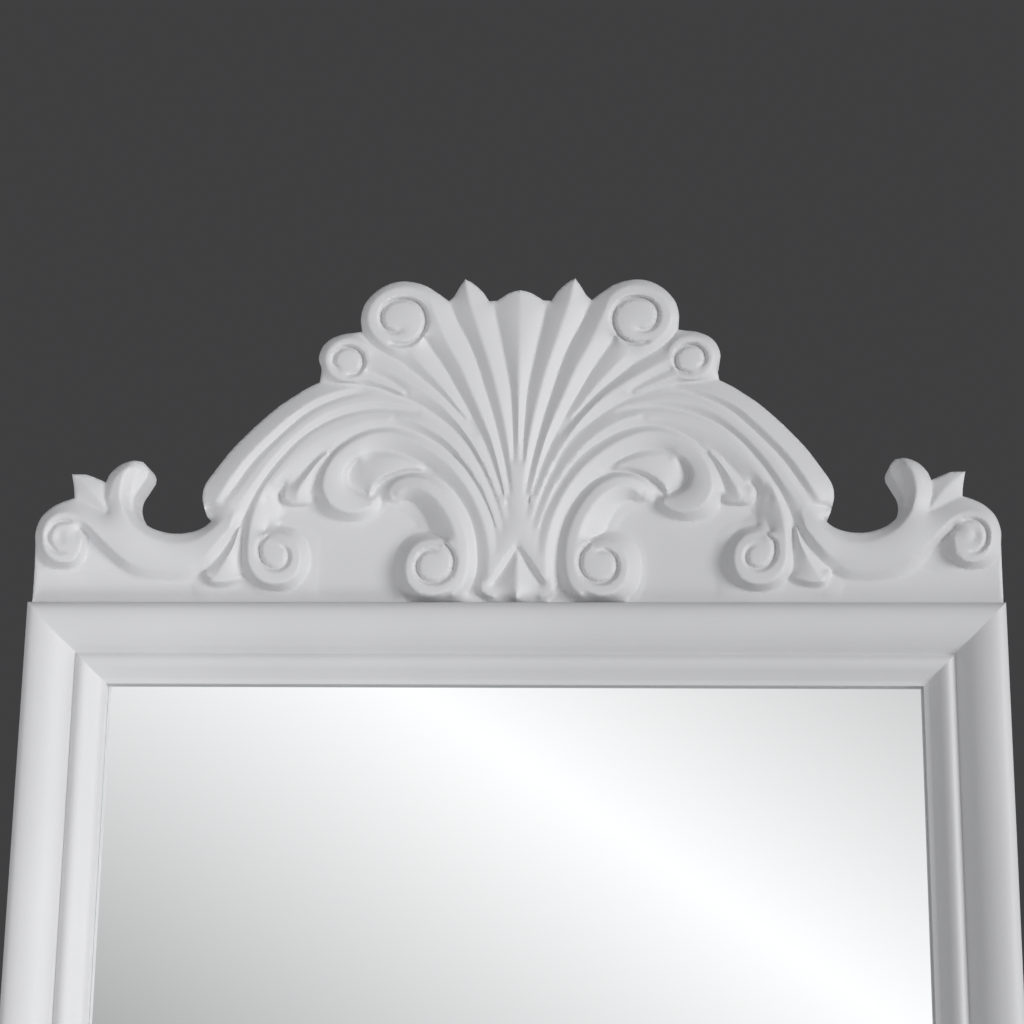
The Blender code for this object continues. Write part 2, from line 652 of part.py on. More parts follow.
def stretcher(posts_made, white, steel, plastic):
    """The rail between the posts, its bolts and their caps."""
    end = POST_INNER - GAP
    low, high = STRETCHER_Z - STRETCHER_HEIGHT / 2, STRETCHER_Z + STRETCHER_HEIGHT / 2
    right_half = (
        (0, low + STRETCHER_RISE), (0.08, low + 0.7 * STRETCHER_RISE), (0.15, low), (end, low), (end, high),
    )  # fmt: skip
    outline = [*right_half, *[(-x, z) for x, z in right_half[:0:-1]]]
    rail = extruded("stretcher", outline, "Y", -STRETCHER_DEPTH / 2, STRETCHER_DEPTH / 2, white)
    bolt_radius, head_radius, recess_depth, bite = 0.003, 0.005, 0.010, 0.028
    recess = POST_OUTER - recess_depth
    for side, sign in SIDES:
        centre = (0, 0, STRETCHER_Z)
        post = posts_made[side]
        through = (sign * (POST_INNER - 0.01), sign * (POST_OUTER + 0.01))
        drill(post, "X", centre, bolt_radius + GAP, *through, 12)
        drill(post, "X", centre, head_radius + 0.0006, sign * recess, sign * (POST_OUTER + 0.01), 12)
        drill(rail, "X", centre, bolt_radius + GAP, sign * (end - bite - 0.001), sign * (end + 0.01), 12)
        head = recess + GAP
        profile = [
            (end - bite, bolt_radius), (head, bolt_radius), (head, head_radius), (head + 0.005, head_radius),
        ]  # fmt: skip
        turned(f"stretcher_bolt_{side}", "X", centre, [(sign * x, r) for x, r in profile], steel, 12)
        cap = ((-0.003, 0.0048), (0, 0.0048), (0, 0.0075), (0.0014, 0.0068), (0.002, 0.0045))
        shape = [(sign * (POST_OUTER + GAP + distance), radius) for distance, radius in cap]
        turned(f"bolt_cap_{side}", "X", centre, shape, plastic, 16)


# ---------------------------------------------------------------- the pivots


def pivots(bars, white, brass, steel, nylon):
    """On each side: an insert in the stile, a spacer, and a knob whose stud clamps a washer on the post.

    Returns the pieces that swing with the mirror.
    """
    stud_start = HALF_WIDTH - 0.014
    washer_start = POST_OUTER + GAP
    knob_start = washer_start + WASHER_THICKNESS + GAP
    stud_end = knob_start + 0.018
    swinging = set()
    for side, sign in SIDES:
        insert_start = HALF_WIDTH - INSERT_LENGTH
        length = (sign * insert_start, sign * (HALF_WIDTH - GAP))
        swinging.add(washer(f"pivot_insert_{side}", *length, STUD_RADIUS + GAP, INSERT_RADIUS, brass))
        outside = sign * (HALF_WIDTH + 0.01)
        bottom = sign * (insert_start - GAP)
        drill(bars[f"{side}_stile"], "X", PIVOT, INSERT_RADIUS + GAP, bottom, outside, 20)
        spacer = (sign * (HALF_WIDTH + GAP), sign * (POST_INNER - GAP))
        swinging.add(washer(f"spacer_washer_{side}", *spacer, STUD_HOLE_RADIUS, SPACER_RADIUS, nylon))
        clamp = (sign * washer_start, sign * (washer_start + WASHER_THICKNESS))
        clamp_washer = washer(f"clamp_washer_{side}", *clamp, STUD_HOLE_RADIUS, WASHER_RADIUS, steel)
        profile = (
            (0, 0.0120), (0.004, 0.0135), (0.006, 0.0100), (0.009, 0.0100),
            (0.013, 0.0170), (0.019, KNOB_RADIUS),
            (0.025, 0.0205), (0.030, 0.0150), (0.0325, 0.0080), (KNOB_LENGTH, 0.0040),
        )  # fmt: skip
        shape = [(sign * (knob_start + distance), radius) for distance, radius in profile]
        knob = turned(f"knob_{side}", "X", PIVOT, shape, white, 20)
        drill(knob, "X", PIVOT, STUD_RADIUS + GAP, sign * (knob_start - 0.01), sign * (stud_end + GAP), 12)
        rod = ((sign * stud_start, STUD_RADIUS), (sign * stud_end, STUD_RADIUS))
        stud = turned(f"pivot_stud_{side}", "X", PIVOT, rod, steel, 12)
        hang_on_pivot(f"knob_axis_{side}", (clamp_washer, knob, stud))
    return swinging


def main():
    clear_scene()
    white = material("white_paint", (0.82, 0.82, 0.84), 0.35)
    silver = material("mirror_silver", (0.92, 0.94, 0.95), 0.03, 1.0)
    board = material("backing_board", (0.42, 0.30, 0.19), 0.75)
    steel = material("zinc_steel", (0.62, 0.62, 0.60), 0.35, 1.0)
    brass = material("brass", (0.72, 0.55, 0.28), 0.35, 1.0)
    rubber = material("glide_rubber", (0.12, 0.12, 0.12), 0.7)
    nylon = material("nylon", (0.85, 0.84, 0.80), 0.5)
    plastic = material("white_plastic", (0.86, 0.86, 0.86), 0.4)

    bars = frame_bars(white)
    glass_front = BACK_Y - REBATE_DEPTH + GAP
    panel("mirror_glass", glass_front, GLASS_THICKNESS, silver)
    backing_front = glass_front + GLASS_THICKNESS + GAP
    panel("backing_board", backing_front, BACKING_THICKNESS, board)
    backing_tabs(backing_front + BACKING_THICKNESS + GAP, steel)
    carving = crest(white)
    corner_brackets(bars, steel)
    crest_plates(bars, carving, steel)
    swinging = visible_pieces()

    standing = posts(white)
    finials(standing, white)
    feet(standing, white, steel)
    glides(rubber)
    stretcher(standing, white, steel, plastic)
    swinging |= pivots(bars, white, brass, steel, nylon)
    hang_on_pivot("mirror_axis", swinging)


main()
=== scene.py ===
"""Looks of the cheval floor mirror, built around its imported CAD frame.

The carved crest is drawn as half of a symmetric relief: an outline, lines with heights, and stretches of
flat ground. A membrane is stretched over them. Everything else is turned, extruded or swept from profiles.
Profiles are in mm and places in metres, in the CAD's own frame: +Z up, front towards -Y.
"""

import math

import bmesh
import bpy
import numpy as np
from mathutils import Matrix, Vector
from mathutils.geometry import delaunay_2d_cdt
from mathutils.kdtree import KDTree

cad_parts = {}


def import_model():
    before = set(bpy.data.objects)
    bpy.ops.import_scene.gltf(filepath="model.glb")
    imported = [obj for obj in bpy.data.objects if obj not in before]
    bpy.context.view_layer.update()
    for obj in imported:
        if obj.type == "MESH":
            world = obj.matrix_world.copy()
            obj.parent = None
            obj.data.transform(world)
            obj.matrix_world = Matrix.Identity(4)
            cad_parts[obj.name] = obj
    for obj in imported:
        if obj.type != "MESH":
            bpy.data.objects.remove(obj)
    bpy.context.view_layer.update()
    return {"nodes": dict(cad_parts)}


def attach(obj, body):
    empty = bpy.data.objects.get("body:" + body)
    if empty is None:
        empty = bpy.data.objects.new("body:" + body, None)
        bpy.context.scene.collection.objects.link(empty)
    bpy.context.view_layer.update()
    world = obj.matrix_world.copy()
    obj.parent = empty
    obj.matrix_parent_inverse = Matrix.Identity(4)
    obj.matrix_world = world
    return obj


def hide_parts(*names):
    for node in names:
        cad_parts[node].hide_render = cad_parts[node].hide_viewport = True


MM = 0.001
SHARP_ANGLE = 35  # creases beyond this many degrees are not shaded smooth
TURNED_SIDES = 72

# Camera: the place and turn that show the top of the mirror from a little below and to the right
CAMERA_PLACE = (0.0484, -0.8114, 1.3084)
CAMERA_YAW, CAMERA_PITCH, CAMERA_ROLL = 3.43, 13.27, -0.68
CAMERA_LENS = 70.3

SIDES = (("left", -1), ("right", 1))

# The mirror's frame
HALF_WIDTH = 0.200
FRAME_BOTTOM, FRAME_TOP = 0.220, 1.460
BACK_Y = 0.010  # the frame's flat back
PIVOT = (0, 0, 0.885)
INSERT_HOLE, INSERT_HOLE_DEPTH = 0.0063, 0.0163
CLEAR_OF_STILE = 0.01
STRAP_BACK = 0.0123  # the back of the brackets and plates
BRACKET_SCREWS = (("rail", 0.055, 0.012), ("stile", 0.012, 0.055))  # in from a corner's side and end
CREST_SCREWS = (("lower", -0.012), ("upper", 0.033))  # above the frame's top
CREST_SCREW_X = 0.085

# The stand
POST_X = 0.226
POST_FACE = 0.2443  # where the clamp washers and the caps start, just clear of a post's side
POST_SIDES, HOLE_SIDES = 96, 48
ROUND_POWER, SQUARE_POWER = 2, 24  # a post's section is a superellipse
STRETCHER_Z, STRETCHER_HALF_DEPTH = 0.172, 0.012
FOOT_HALF_THICKNESS = 0.015
FOOT_EDGE, STRETCHER_EDGE = 0.003, 0.0025  # how far the edges are rounded over
GLIDE_Y = 0.216

# Radii of the holes in the stand, and where they start and end
STUD_HOLE, BOLT_HOLE, BOLT_RECESS = 0.0045, 0.0033, 0.0056
SPIGOT_HOLE, FOOT_BOLT_HOLE, FOOT_BOLT_RECESS = 0.0053, 0.0038, 0.0075
ACROSS_POST, RECESS_START = 0.03, 0.008  # along X from a post's middle
SPIGOT_HOLE_ENDS, POST_BOLT_ENDS = (0.9913, 1.02), (0.11, 0.151)
FOOT_BOLT_ENDS, FOOT_RECESS_ENDS = (0.04, 0.13), (0.04, 0.067)
STRETCHER_BOLT_ENDS = (0.1787, 0.22)

# The pivots: ends along X, and radii
SPACER_ENDS, SPACER_RADIUS = (0.2003, 0.2077), 0.013
CLAMP_ENDS, CLAMP_RADIUS = (POST_FACE, 0.2463), 0.014
STUD_ENDS, STUD_RADIUS, THREAD_PITCH = (0.186, 0.2646), 0.004, 0.00125
KNOB_START = 0.2466

# Outlines are runs of knots. Each run is a smooth curve that starts, at a corner, where the one before it
# ends. A knot whose third value is left out has the value of the knot before it.

# The moulding's section: inwards from the outer edge, forwards from the flat back
MOULDING = (
    ((0, 0), (0, 18.6)),
    ((0.3, 21.2), (1.3, 23.7), (3.2, 25.4), (6, 26), (9, 25.7), (12, 24.7), (15, 23), (18, 20.3),
     (19.8, 17.9), (20.5, 16.8)),
    ((21.2, 17.6), (22.2, 18.6), (23.5, 19.1), (24.8, 18.9), (26.6, 17.9), (28.8, 15.9), (31, 14)),
    ((32, 13.6), (33, 13.3)),
    ((33, 9),),
    ((24, 9),),
    ((24, 0),),
)
# Up a post: height, half width, and squareness (0 round, 1 square)
POST_RUNS = (
    ((120.3, 18, 1), (230.5, 18)),
    ((232.4, 17.7), (234.2, 16.6, 0.75), (236, 15, 0.3), (236.6, 14.2, 0)),
    ((236.8, 11.6), (239, 10.9), (242, 11)),
    ((243.5, 13.8), (247, 16.4), (252, 17.3), (257, 16.4), (260.4, 13.8), (262, 10.8)),
    ((268, 11.2), (278, 13.2), (292, 15.2), (316, 16.8), (342, 17.2), (375, 16.4), (412, 15), (480, 13.6),
     (560, 12.5), (650, 11.6), (740, 10.8), (785, 10), (792, 10)),
    ((793.2, 12.6), (796.6, 15), (801.5, 15.8), (806.4, 15), (809.8, 12.6), (811, 10)),
    ((817, 10.2), (824, 11.8), (831, 13.4), (834, 14.2)),
    ((836.5, 16, 0.4), (838.5, 17.4, 0.8), (841, 18, 1)),
    ((929, 18),),
    ((931.4, 17.4, 0.8), (933.4, 16, 0.4), (936, 14.2, 0)),
    ((936.4, 11.4), (940, 10.8), (952, 10.6), (964, 12.4), (975, 14), (984, 13.2), (991, 11.6),
     (993, 11.6)),
    ((994.2, 14.2), (997.4, 16.4), (1001, 16.8), (1004.6, 15.8), (1006.6, 13.6)),
    ((1010, 12.5),),
)
# A finial: height and radius, from its spigot up
FINIAL_RUNS = (
    ((992.3, 0), (992.3, 4.4)),
    ((993, 5),),
    ((1010.3, 5),),
    ((1010.3, 11.6),),
    ((1011.6, 12.6), (1013.4, 12.2), (1014.6, 10.8)),
    ((1016.4, 8.4), (1019.4, 7.7), (1022, 9)),
    ((1025, 13), (1029.5, 15.6), (1034.5, 16.5), (1040, 16.2), (1046, 14.6), (1052, 11.8), (1058, 8.4),
     (1063, 5.4), (1066, 4.2)),
    ((1068, 4.9), (1070.6, 5.1), (1073, 4), (1074.2, 1.8), (1074.4, 0)),
)
# Half a foot from the side, from the middle of its arch over its toe: outwards from its middle, and up
FOOT_RUNS = (
    ((0, 58), (30, 57.6), (60, 55.6), (85, 51), (110, 44), (132, 36), (150, 28), (166, 20), (180, 13.4),
     (200, 9)),
    ((230, 9),),
    ((236.4, 11.8), (240.4, 17.4), (241, 23.4), (239.2, 30), (234.6, 36), (228, 39.2), (222, 39.6),
     (217, 37.6), (213.6, 38.4)),
    ((200, 42.4), (184, 46.6), (170, 52), (150, 62), (130, 74), (112, 86), (96, 96), (82, 103.4),
     (66, 109), (52, 111.4), (45, 112)),
    ((41.5, 112.6), (39.5, 114.4)),
    ((38.6, 116.6), (36.8, 119.2), (34, 120)),
    ((0, 120),),
)
# Half the stretcher from the front, from the middle of its arch to the middle of its top
STRETCHER_RUNS = (
    ((0, 162), (30, 161.2), (60, 158.8), (90, 155), (118, 151), (140, 148.6), (156, 148)),
    ((207.7, 148),),
    ((207.7, 196),),
    ((0, 196),),
)
# A knob, from the end of its bore over its face: outwards from the washer, and radius
KNOB_RUNS = (
    ((18.3, 0), (18.3, 4.3)),
    ((0, 4.3),),
    ((0, 11.4),),
    ((0.7, 12.6), (2.4, 13.5), (4.2, 13)),
    ((5, 10.8), (7, 9.8), (9, 10)),
    ((10.6, 13), (13.4, 17.6), (17, 21), (20, 22), (23.6, 21.4), (27.4, 18.6), (30.2, 14.6), (31.6, 11.4)),
    ((32, 9.6), (32.8, 7.6), (33.7, 4.4), (34, 0)),
)

# Half the crest: across from the middle, up from the bottom edge, height above the flat ground
CREST_OUTLINE = (
    ((0, 0, 2), (50, 0, 0.5), (100, 0, 0), (150, 0), (199, 0)),
    ((199, 14), (199.2, 24, 2.5)),
    ((199.4, 30, 3), (197.4, 36, 3.5), (193, 40.5), (188, 43), (184.2, 44.2)),
    ((184.6, 48.5), (185.8, 54.6, 4)),
    ((180, 54.4), (175.5, 52.8, 3.5), (171.6, 51)),
    ((169.8, 54.8), (166.2, 58.4), (161, 60.4, 3), (156.6, 59.8, 1.5)),
    ((154.8, 57.8, 1.2), (153.9, 55.6, 1), (154.1, 53.4)),
    ((156.4, 49.4), (158.6, 45.6, 1.2), (159.2, 41.8, 1.4), (158.4, 38.2, 1.6)),
    ((156.2, 34.8, 2), (152, 31.6, 2.5), (146.5, 29.6), (141, 28.9), (135, 29.6), (130, 31.6),
     (126.4, 34.7, 2)),
    ((128.6, 36, 2.4), (130.2, 40.3, 3)),
    ((131, 44.5, 3.5), (130, 50), (125, 57.7), (120, 64.6), (115, 70.2), (110, 75.4), (105, 80.1),
     (100, 84.4), (95, 87.9), (90, 91.2), (84, 94.4)),
    ((83.4, 100, 4), (84.7, 105), (83.2, 110), (80, 113.4), (75, 115.5), (70, 116.2), (66.8, 116.6, 3.5)),
    ((67.4, 122.5, 4.5), (66.3, 128), (63.8, 132), (60, 135.6), (55, 138.2), (50, 139), (45, 138.5),
     (40, 136.8), (35, 133.6, 4.2), (30.3, 130, 3.2)),
    ((28, 132.3, 3.6), (25.9, 136, 4.5), (23.4, 139.8, 5.8)),
    ((20, 137.8, 5), (16, 134, 4), (13.2, 129.8, 3)),
    ((9.8, 130, 3.5),),
    ((6, 132.6, 4.8), (3, 134, 5.6), (0, 134.6, 6)),
)
CREST_LINES = (
    # The fan: middle rib, then valleys and ribs outwards
    ((0, 134.6, 6.2), (0, 124, 7), (0, 100, 7.2), (0, 80, 7), (0, 60, 6.6)),
    ((11.5, 129.9, 3.6), (9.6, 120, 3.8), (7.4, 110, 4.2), (5.3, 100, 4.5), (3.5, 90, 4.8), (2.6, 78, 5),
     (2.2, 70, 5.2), (1.9, 60, 5.8)),
    ((23.4, 139.8, 6.4), (21.3, 130, 7.2), (18.1, 120, 7.5), (14.9, 110), (11.6, 100), (9, 90, 7.4),
     (6.6, 80, 7.2), (4.6, 70, 7), (3.4, 60, 6.7), (2.3, 46, 6.2)),
    ((30.3, 130, 3.6), (26, 120, 4), (20.8, 110, 4.3), (17, 100, 4.6), (13.9, 90, 4.8), (10.8, 80, 4.9),
     (8.2, 70, 5), (5.8, 60, 5.1), (3.8, 50, 5.4), (2.8, 43, 6)),
    ((38, 131, 7.2), (36.5, 126, 7.8), (34, 120, 8), (29.5, 110), (24, 100, 7.9), (19.8, 90, 7.8),
     (15.5, 80, 7.6), (11.7, 70, 7.3), (8.8, 60, 7), (6.4, 50, 6.6), (5, 42, 6.2)),
    ((41.5, 115.5, 5), (38, 110, 4.6), (31.2, 100), (25.5, 90, 4.8), (20, 80, 4.9), (15, 70, 5),
     (11.7, 62.5), (8.6, 54.5), (6.1, 47, 5.2), (4.3, 40.5, 5.5), (3.3, 35, 6)),
    ((47, 107.5, 6.6), (41.5, 102, 7), (36, 96, 6.9), (30.5, 89.5, 6.7), (25.5, 83, 6.3), (21.5, 78, 5.6)),
    ((66.8, 116.6, 3.5), (63, 111.5, 4), (57.5, 107.3, 4.4), (50, 103, 4.6), (45, 99), (40, 95, 4.7),
     (35, 90.8, 4.8), (30, 86), (25, 80.5, 4.9), (21, 75.8, 5), (18, 72)),
    ((64, 104, 7.2), (58, 101, 7.4), (52, 97.5, 7.6), (44, 93), (36, 87.3, 7.5), (29.5, 81, 7.4),
     (24, 74.3, 7.3), (19, 67, 7.1), (14.6, 59, 6.9), (11, 51, 6.6), (8, 43, 6.3), (5.8, 36, 6)),
    ((64, 99.5, 6), (55, 95.3, 5.6), (50, 92.3, 5.8), (45, 89.2, 6.6)),
    ((66, 96.3, 7), (56, 92.6, 6.8), (49, 89.3)),
    ((84, 94.4, 3.5), (80, 94.3, 4), (70, 93.5, 4.4), (60, 92, 4.6), (52, 89), (45, 86), (38, 82),
     (30.5, 76.5, 4.7), (22.8, 70, 4.8), (18.5, 64, 4.9), (14.5, 56.5, 5), (11, 48.5, 5.2), (8, 40, 5.4),
     (6.5, 33, 5.7), (6, 28, 6)),
    ((50, 79.2, 6.6), (44, 77.5, 7), (36, 73, 7.2), (29, 67.5), (23.5, 61, 7.1), (18.5, 54, 6.9),
     (14, 46, 6.6), (10.8, 38, 6.3), (8.6, 31, 6.1)),
    ((86.2, 46.5, 2.8), (84.8, 50.6, 3), (82.8, 56, 3.2), (80, 61, 3.6), (76.2, 65.6, 4), (71, 69.6, 4.3),
     (65.4, 72.6, 4.4), (59, 74.4), (52, 74.6), (46, 73.4), (40, 71.2), (35, 68.4), (30.5, 65.5, 4.5),
     (25.5, 61.5, 4.6), (21, 56.6, 4.7), (16.8, 49.8, 4.8), (12.8, 42, 5), (10, 35, 5.3), (8.9, 27, 5.6),
     (8.8, 21, 6)),
    ((60, 43, 4.2), (61.2, 40.6, 4.8), (64.4, 38.6, 5.4), (69, 37.8, 6), (74.4, 39.2, 6.4), (78, 42, 6.8),
     (80.4, 46.4, 7), (81, 51), (80, 56), (77.4, 61, 6.8), (73.2, 65.4, 6.5), (68, 69, 6.3), (61, 71.8),
     (53, 72.2, 6.5), (44.6, 69.4, 6.9), (37, 65, 7.1), (29, 58.5, 7.2), (23.5, 52), (19, 45, 7),
     (15.3, 37, 6.8), (12.8, 29, 6.6), (11.6, 21, 6.4), (11.8, 12, 6)),
    # Strands along the shoulder, from the top edge inwards
    ((125.2, 42.6, 5.6), (121, 50, 6.9), (114.4, 60, 7.2), (105.6, 70), (95.6, 79.6), (89, 84.4, 7),
     (82, 88.2, 6.8), (74, 90.8, 6.2), (66, 91.8, 4.6)),
    ((122.4, 42.6, 5), (117.2, 50, 4.8), (110.4, 60), (101, 70), (90, 80.2), (80, 85.8, 4.9), (70, 89, 5),
     (62, 89.8, 5.2)),
    ((119.8, 42.2, 5.6), (113.9, 50, 6.2), (107.4, 60, 6.3), (98.6, 70), (87.8, 79.6), (79.6, 84.2, 6.2),
     (70, 87.4, 6), (61, 88.2, 5.8)),
    ((117, 40, 5.4), (110, 50, 6.4), (103.2, 60, 6.5), (94.4, 70), (82.4, 79.8), (72, 83.8, 6.3),
     (60, 85.4, 6.1), (48, 84.2, 5.8), (40, 82, 5.2)),
    ((114, 34.5, 3.4), (110.5, 43, 3.8), (107, 50, 4.2), (100.2, 60), (91, 70), (80, 77.2, 4.3),
     (70, 81, 4.4), (60, 82.8, 4.6), (50, 82.4, 4.8), (42, 80.8, 5.2)),
    ((108.5, 41, 5.4), (104.6, 50, 5.7), (97.4, 60), (88.8, 70, 5.6), (80, 75.8), (70, 79.6), (60, 81.2),
     (51, 80.8, 5.8)),
    ((101.6, 50.6, 5.6), (95, 59.4, 5.7), (88, 66, 5.8), (80, 71, 5.9), (70, 75.2), (60, 77.6, 6),
     (54, 78.2, 6.3)),
    ((95, 49.2, 3), (90, 55, 3.4), (85.6, 60.2, 3.8), (81.4, 64, 4.2), (78, 66.4, 4.8)),
    ((91, 48.2, 5.6), (87, 54.4, 5.8), (83, 60), (80, 63, 5.4)),
    # Hook bowl: the edge of its drop, and the foot of it
    ((66.6, 62.6, 5.6), (70, 60), (72.3, 56), (72.5, 52, 5.4), (71, 48.4, 5), (67.4, 45.4, 4.6),
     (63.4, 43.8, 4.2), (60, 43)),
    ((66.8, 60.4, 3), (69, 58.2, 1.8), (70.5, 55.2, 1.2), (70.6, 52, 1), (69.2, 49.4, 0.8), (66, 47.2),
     (62.8, 45.8)),
    # Curling leaf over the bowl: upper edge, the valley above it, lower edge
    ((62.8, 60.8, 4), (58, 61.6, 4.8), (53, 61.4, 5.4), (47, 60), (42, 58.2, 5)),
    ((66.6, 62.6, 5.6), (62, 64, 4), (57, 64.6, 3.6), (51, 63.8), (46, 62), (40, 58.8), (35.4, 55.8)),
    ((61.8, 47, 3), (60, 50, 4), (56.6, 52.9, 4.6), (51, 55.6, 5), (45, 56.8, 4.8), (40.4, 56.4, 4.4)),
    ((60.4, 44.8, 0.6), (58.8, 48.2, 0.5), (55.9, 50.8), (52.4, 53, 1.2), (48, 54.6, 1.9), (43, 55.1, 2.2),
     (37.4, 54.2, 2.6), (31, 51, 3.2), (25.6, 45.6, 3.6), (21, 38.4, 3.8), (18.5, 32, 4), (17.1, 26),
     (16.6, 20, 3.8), (16.6, 14, 3), (18, 8, 1.8), (20, 4, 0.8)),
    # Stem of the inner lower scroll: its outer edge, then its crest and the scroll's edge
    ((52.4, 43.4, 3), (53.6, 46.4, 3.8), (52, 50, 4.8), (48, 52.4, 5.8), (43, 53, 6.4), (38, 51.9, 6.9),
     (32.6, 48.4, 7.2), (28, 43.2, 7.4), (24, 36.4, 7.5), (21.6, 30), (20.4, 24), (20.1, 17, 7.4),
     (20.8, 11, 7.3), (22.8, 6.4, 7.2), (26.6, 3, 7.1)),
    ((50, 46, 5), (45, 48.8, 6.4), (39, 47.6, 7.4), (33.4, 43.2, 7.9), (28.8, 36.8, 8), (26, 30.4),
     (24.4, 24.6), (23.6, 18.6), (24, 12.6, 7.9), (26, 7.8, 7.8), (29.8, 4.4), (34.4, 3), (39.6, 3.8),
     (43.6, 7), (45.6, 11.6), (45.7, 16.6, 7.6), (44, 21.4, 7.3), (40.8, 24.8, 7), (36.6, 26.2, 6.6),
     (32.4, 26, 6)),
    ((53.4, 42, 0.4), (50, 41.6), (46.4, 43, 0.5), (42.6, 41.4), (39.4, 37.4), (37, 32.6),
     (35.8, 29.4, 0.8), (32.6, 27.8, 2.4), (29.6, 26.6, 4.6)),
    ((50.8, 16, 0.5), (50.4, 10.6), (48.4, 5), (45.6, 1.6)),
    ((50.8, 16, 0.5), (49.8, 21.4, 0.4), (47, 26), (43, 28.6), (38.6, 29.4, 0.5), (35.8, 29.4, 0.8)),
    # Lower leaf and the end of the S-stem
    ((128.6, 13.6, 2), (125.6, 16.6, 3), (122, 21), (117.5, 27.5), (114, 34.5, 3.4)),
    ((131, 17.8, 5), (127, 21.4, 6.4), (123, 26, 7), (119, 32), (117, 40, 5.4)),
    ((115.2, 31, 6), (117, 24, 6.2), (120.5, 17, 5.6), (123.4, 11.8, 5.2), (124.6, 8.4, 4.8)),
    ((114, 34.5, 3.4), (113.8, 30, 2.8), (113.7, 24, 2.6), (113.6, 18, 2.4), (112.8, 13, 1.8),
     (110.8, 9.5, 0.8)),
    ((128, 12.8, 4.4), (126.6, 9.6, 4.6), (124.6, 8.4, 4.8), (119, 8.8, 4.4), (113.6, 10.6, 3.4)),
    ((129.2, 12.4, 0.3), (127.6, 8.2), (125.2, 6.2), (119, 6.2), (112.4, 8)),
    # Stem and rim of the outer lower scroll, its ground, its groove and its flat face
    ((108.5, 41, 5.4), (110, 35, 6.2), (111, 29, 6.8), (111.4, 23, 7), (110.8, 17), (108.4, 12, 6.8),
     (104.6, 8.8, 6.6), (100, 7.6, 6.4), (95.4, 8.2), (91.6, 10.8), (89.5, 15), (89.3, 20),
     (90.8, 24.6, 6.2), (94.2, 28, 5.8), (98.6, 29.2, 5.4), (102.6, 29, 4.6)),
    ((113, 12, 0.8), (109.8, 8, 0.5), (104.8, 5.4, 0.4), (98.8, 4.4, 0.2), (92.8, 5.2, 0.1), (88.4, 8.4),
     (85.8, 13.6), (85.6, 19.8), (87.4, 25.8), (91.2, 30, 0.3), (95.6, 31.6, 0.8), (99, 32.4, 0.9)),
    ((104.4, 44, 3.6), (103, 38.6, 3.2), (103, 33.6, 3), (104.6, 30, 3.2)),
    ((99.6, 47, 1.2), (98.4, 41, 0.6), (98.6, 35.6)),
    # Middle leaf tips, above the ground
    ((95, 49.2, 3), (96.6, 47.6, 3.8), (97.2, 45.2, 4), (96, 42.8, 3.8), (93.6, 41.8, 3.6),
     (90.8, 41.8, 3.4)),
    ((97, 50.4, 1.6), (98.8, 47.8, 0.9), (99, 44.6, 0.5), (97.2, 41.4, 0.4), (94, 40.2, 0.3), (90.6, 40.2)),
    ((90.8, 41.8, 3.4), (91.8, 44.4, 4.8), (91, 48.2, 5.6)),
    ((90.8, 41.8, 3.4), (87.6, 42, 3), (85.6, 43, 2.6)),
    ((90.6, 40.2, 0.3), (87, 40.4), (84.4, 41.6, 0.4)),
    ((84.2, 44.4, 0.8), (83, 39.2, 0.3), (79, 35.8), (74, 34.2), (69, 33.8), (63.4, 34.8), (59, 37.6),
     (57, 41.4), (57, 44, 0.4)),
    # Corner: petal, lobe and S-stem
    ((185.8, 54.6, 4), (179, 49.4, 5.4), (174.5, 44.2), (171, 39.6, 5)),
    ((184.2, 44.2, 3.5), (179, 42, 3.9), (174.6, 39.8, 4.1), (170.4, 38, 4.4)),
    ((171.6, 51, 3.5), (171.8, 47.5, 3.9), (171.2, 43, 4.2), (170.2, 39, 4.6)),
    ((170, 44.4, 6), (168.9, 50, 6.6), (166.9, 54, 6.8), (163.8, 57.2, 6.4), (160.8, 59, 4.6)),
    ((161.4, 57.8, 6), (163.8, 55.4, 7), (165, 51.4, 7.4), (165.3, 46.6), (164.2, 41, 7.2),
     (161.2, 35.2, 7), (156.6, 30.4, 6.6), (150, 26.6, 6), (143, 24.8, 5.6), (135, 25.4, 5.8),
     (129, 28.6, 6.2), (123.4, 33.4, 6.4), (119.6, 37.8, 5.6)),
    ((158.6, 57, 3.4), (159.8, 53, 3.3), (161, 48.4, 3.2), (161.6, 43.4), (160.8, 38.6, 3.4)),
    ((186.4, 38.2, 7), (182, 36.4, 7.2), (178, 33, 7.4), (174, 28.8, 7.2), (168, 22.8, 6), (162, 18, 5),
     (156, 15, 3.8), (150, 13.2, 3.2), (142, 12.6, 3), (135.6, 13.6, 3.4), (131.6, 16, 4)),
    ((181, 31.4, 3), (177.8, 28.2, 1.6), (174, 24.6, 1), (169.4, 19.4, 0.6), (164.6, 14.8, 0.4),
     (159.6, 11.7, 0.3), (155, 10.1), (149.6, 9.3), (142, 9), (135, 9.4), (129.6, 11.6)),
    ((186.4, 38.2, 7), (191, 37.4), (194.7, 34.2), (196.2, 29.6), (195.8, 24.4, 6.9), (193.7, 20, 6.7),
     (189.8, 17.3, 6.6), (185, 16.9), (181.6, 19.2), (180.2, 23), (180, 27, 6.4), (181, 30.2, 5)),
    ((186.4, 29.4, 6.9), (188.8, 29, 6.3), (189.4, 27.2, 6.1), (188, 25.8, 6.3), (186, 26.4, 6.8)),
    ((199.1, 20.4, 1.4), (197.4, 17.4, 0.5), (193.6, 14.8, 0.3), (189, 13.9), (184, 13.9), (179.6, 16.2),
     (177.7, 20.4), (177.4, 24.8, 0.6), (177.8, 28.2, 1.6)),
    # Top volutes: the edge of each flat ring
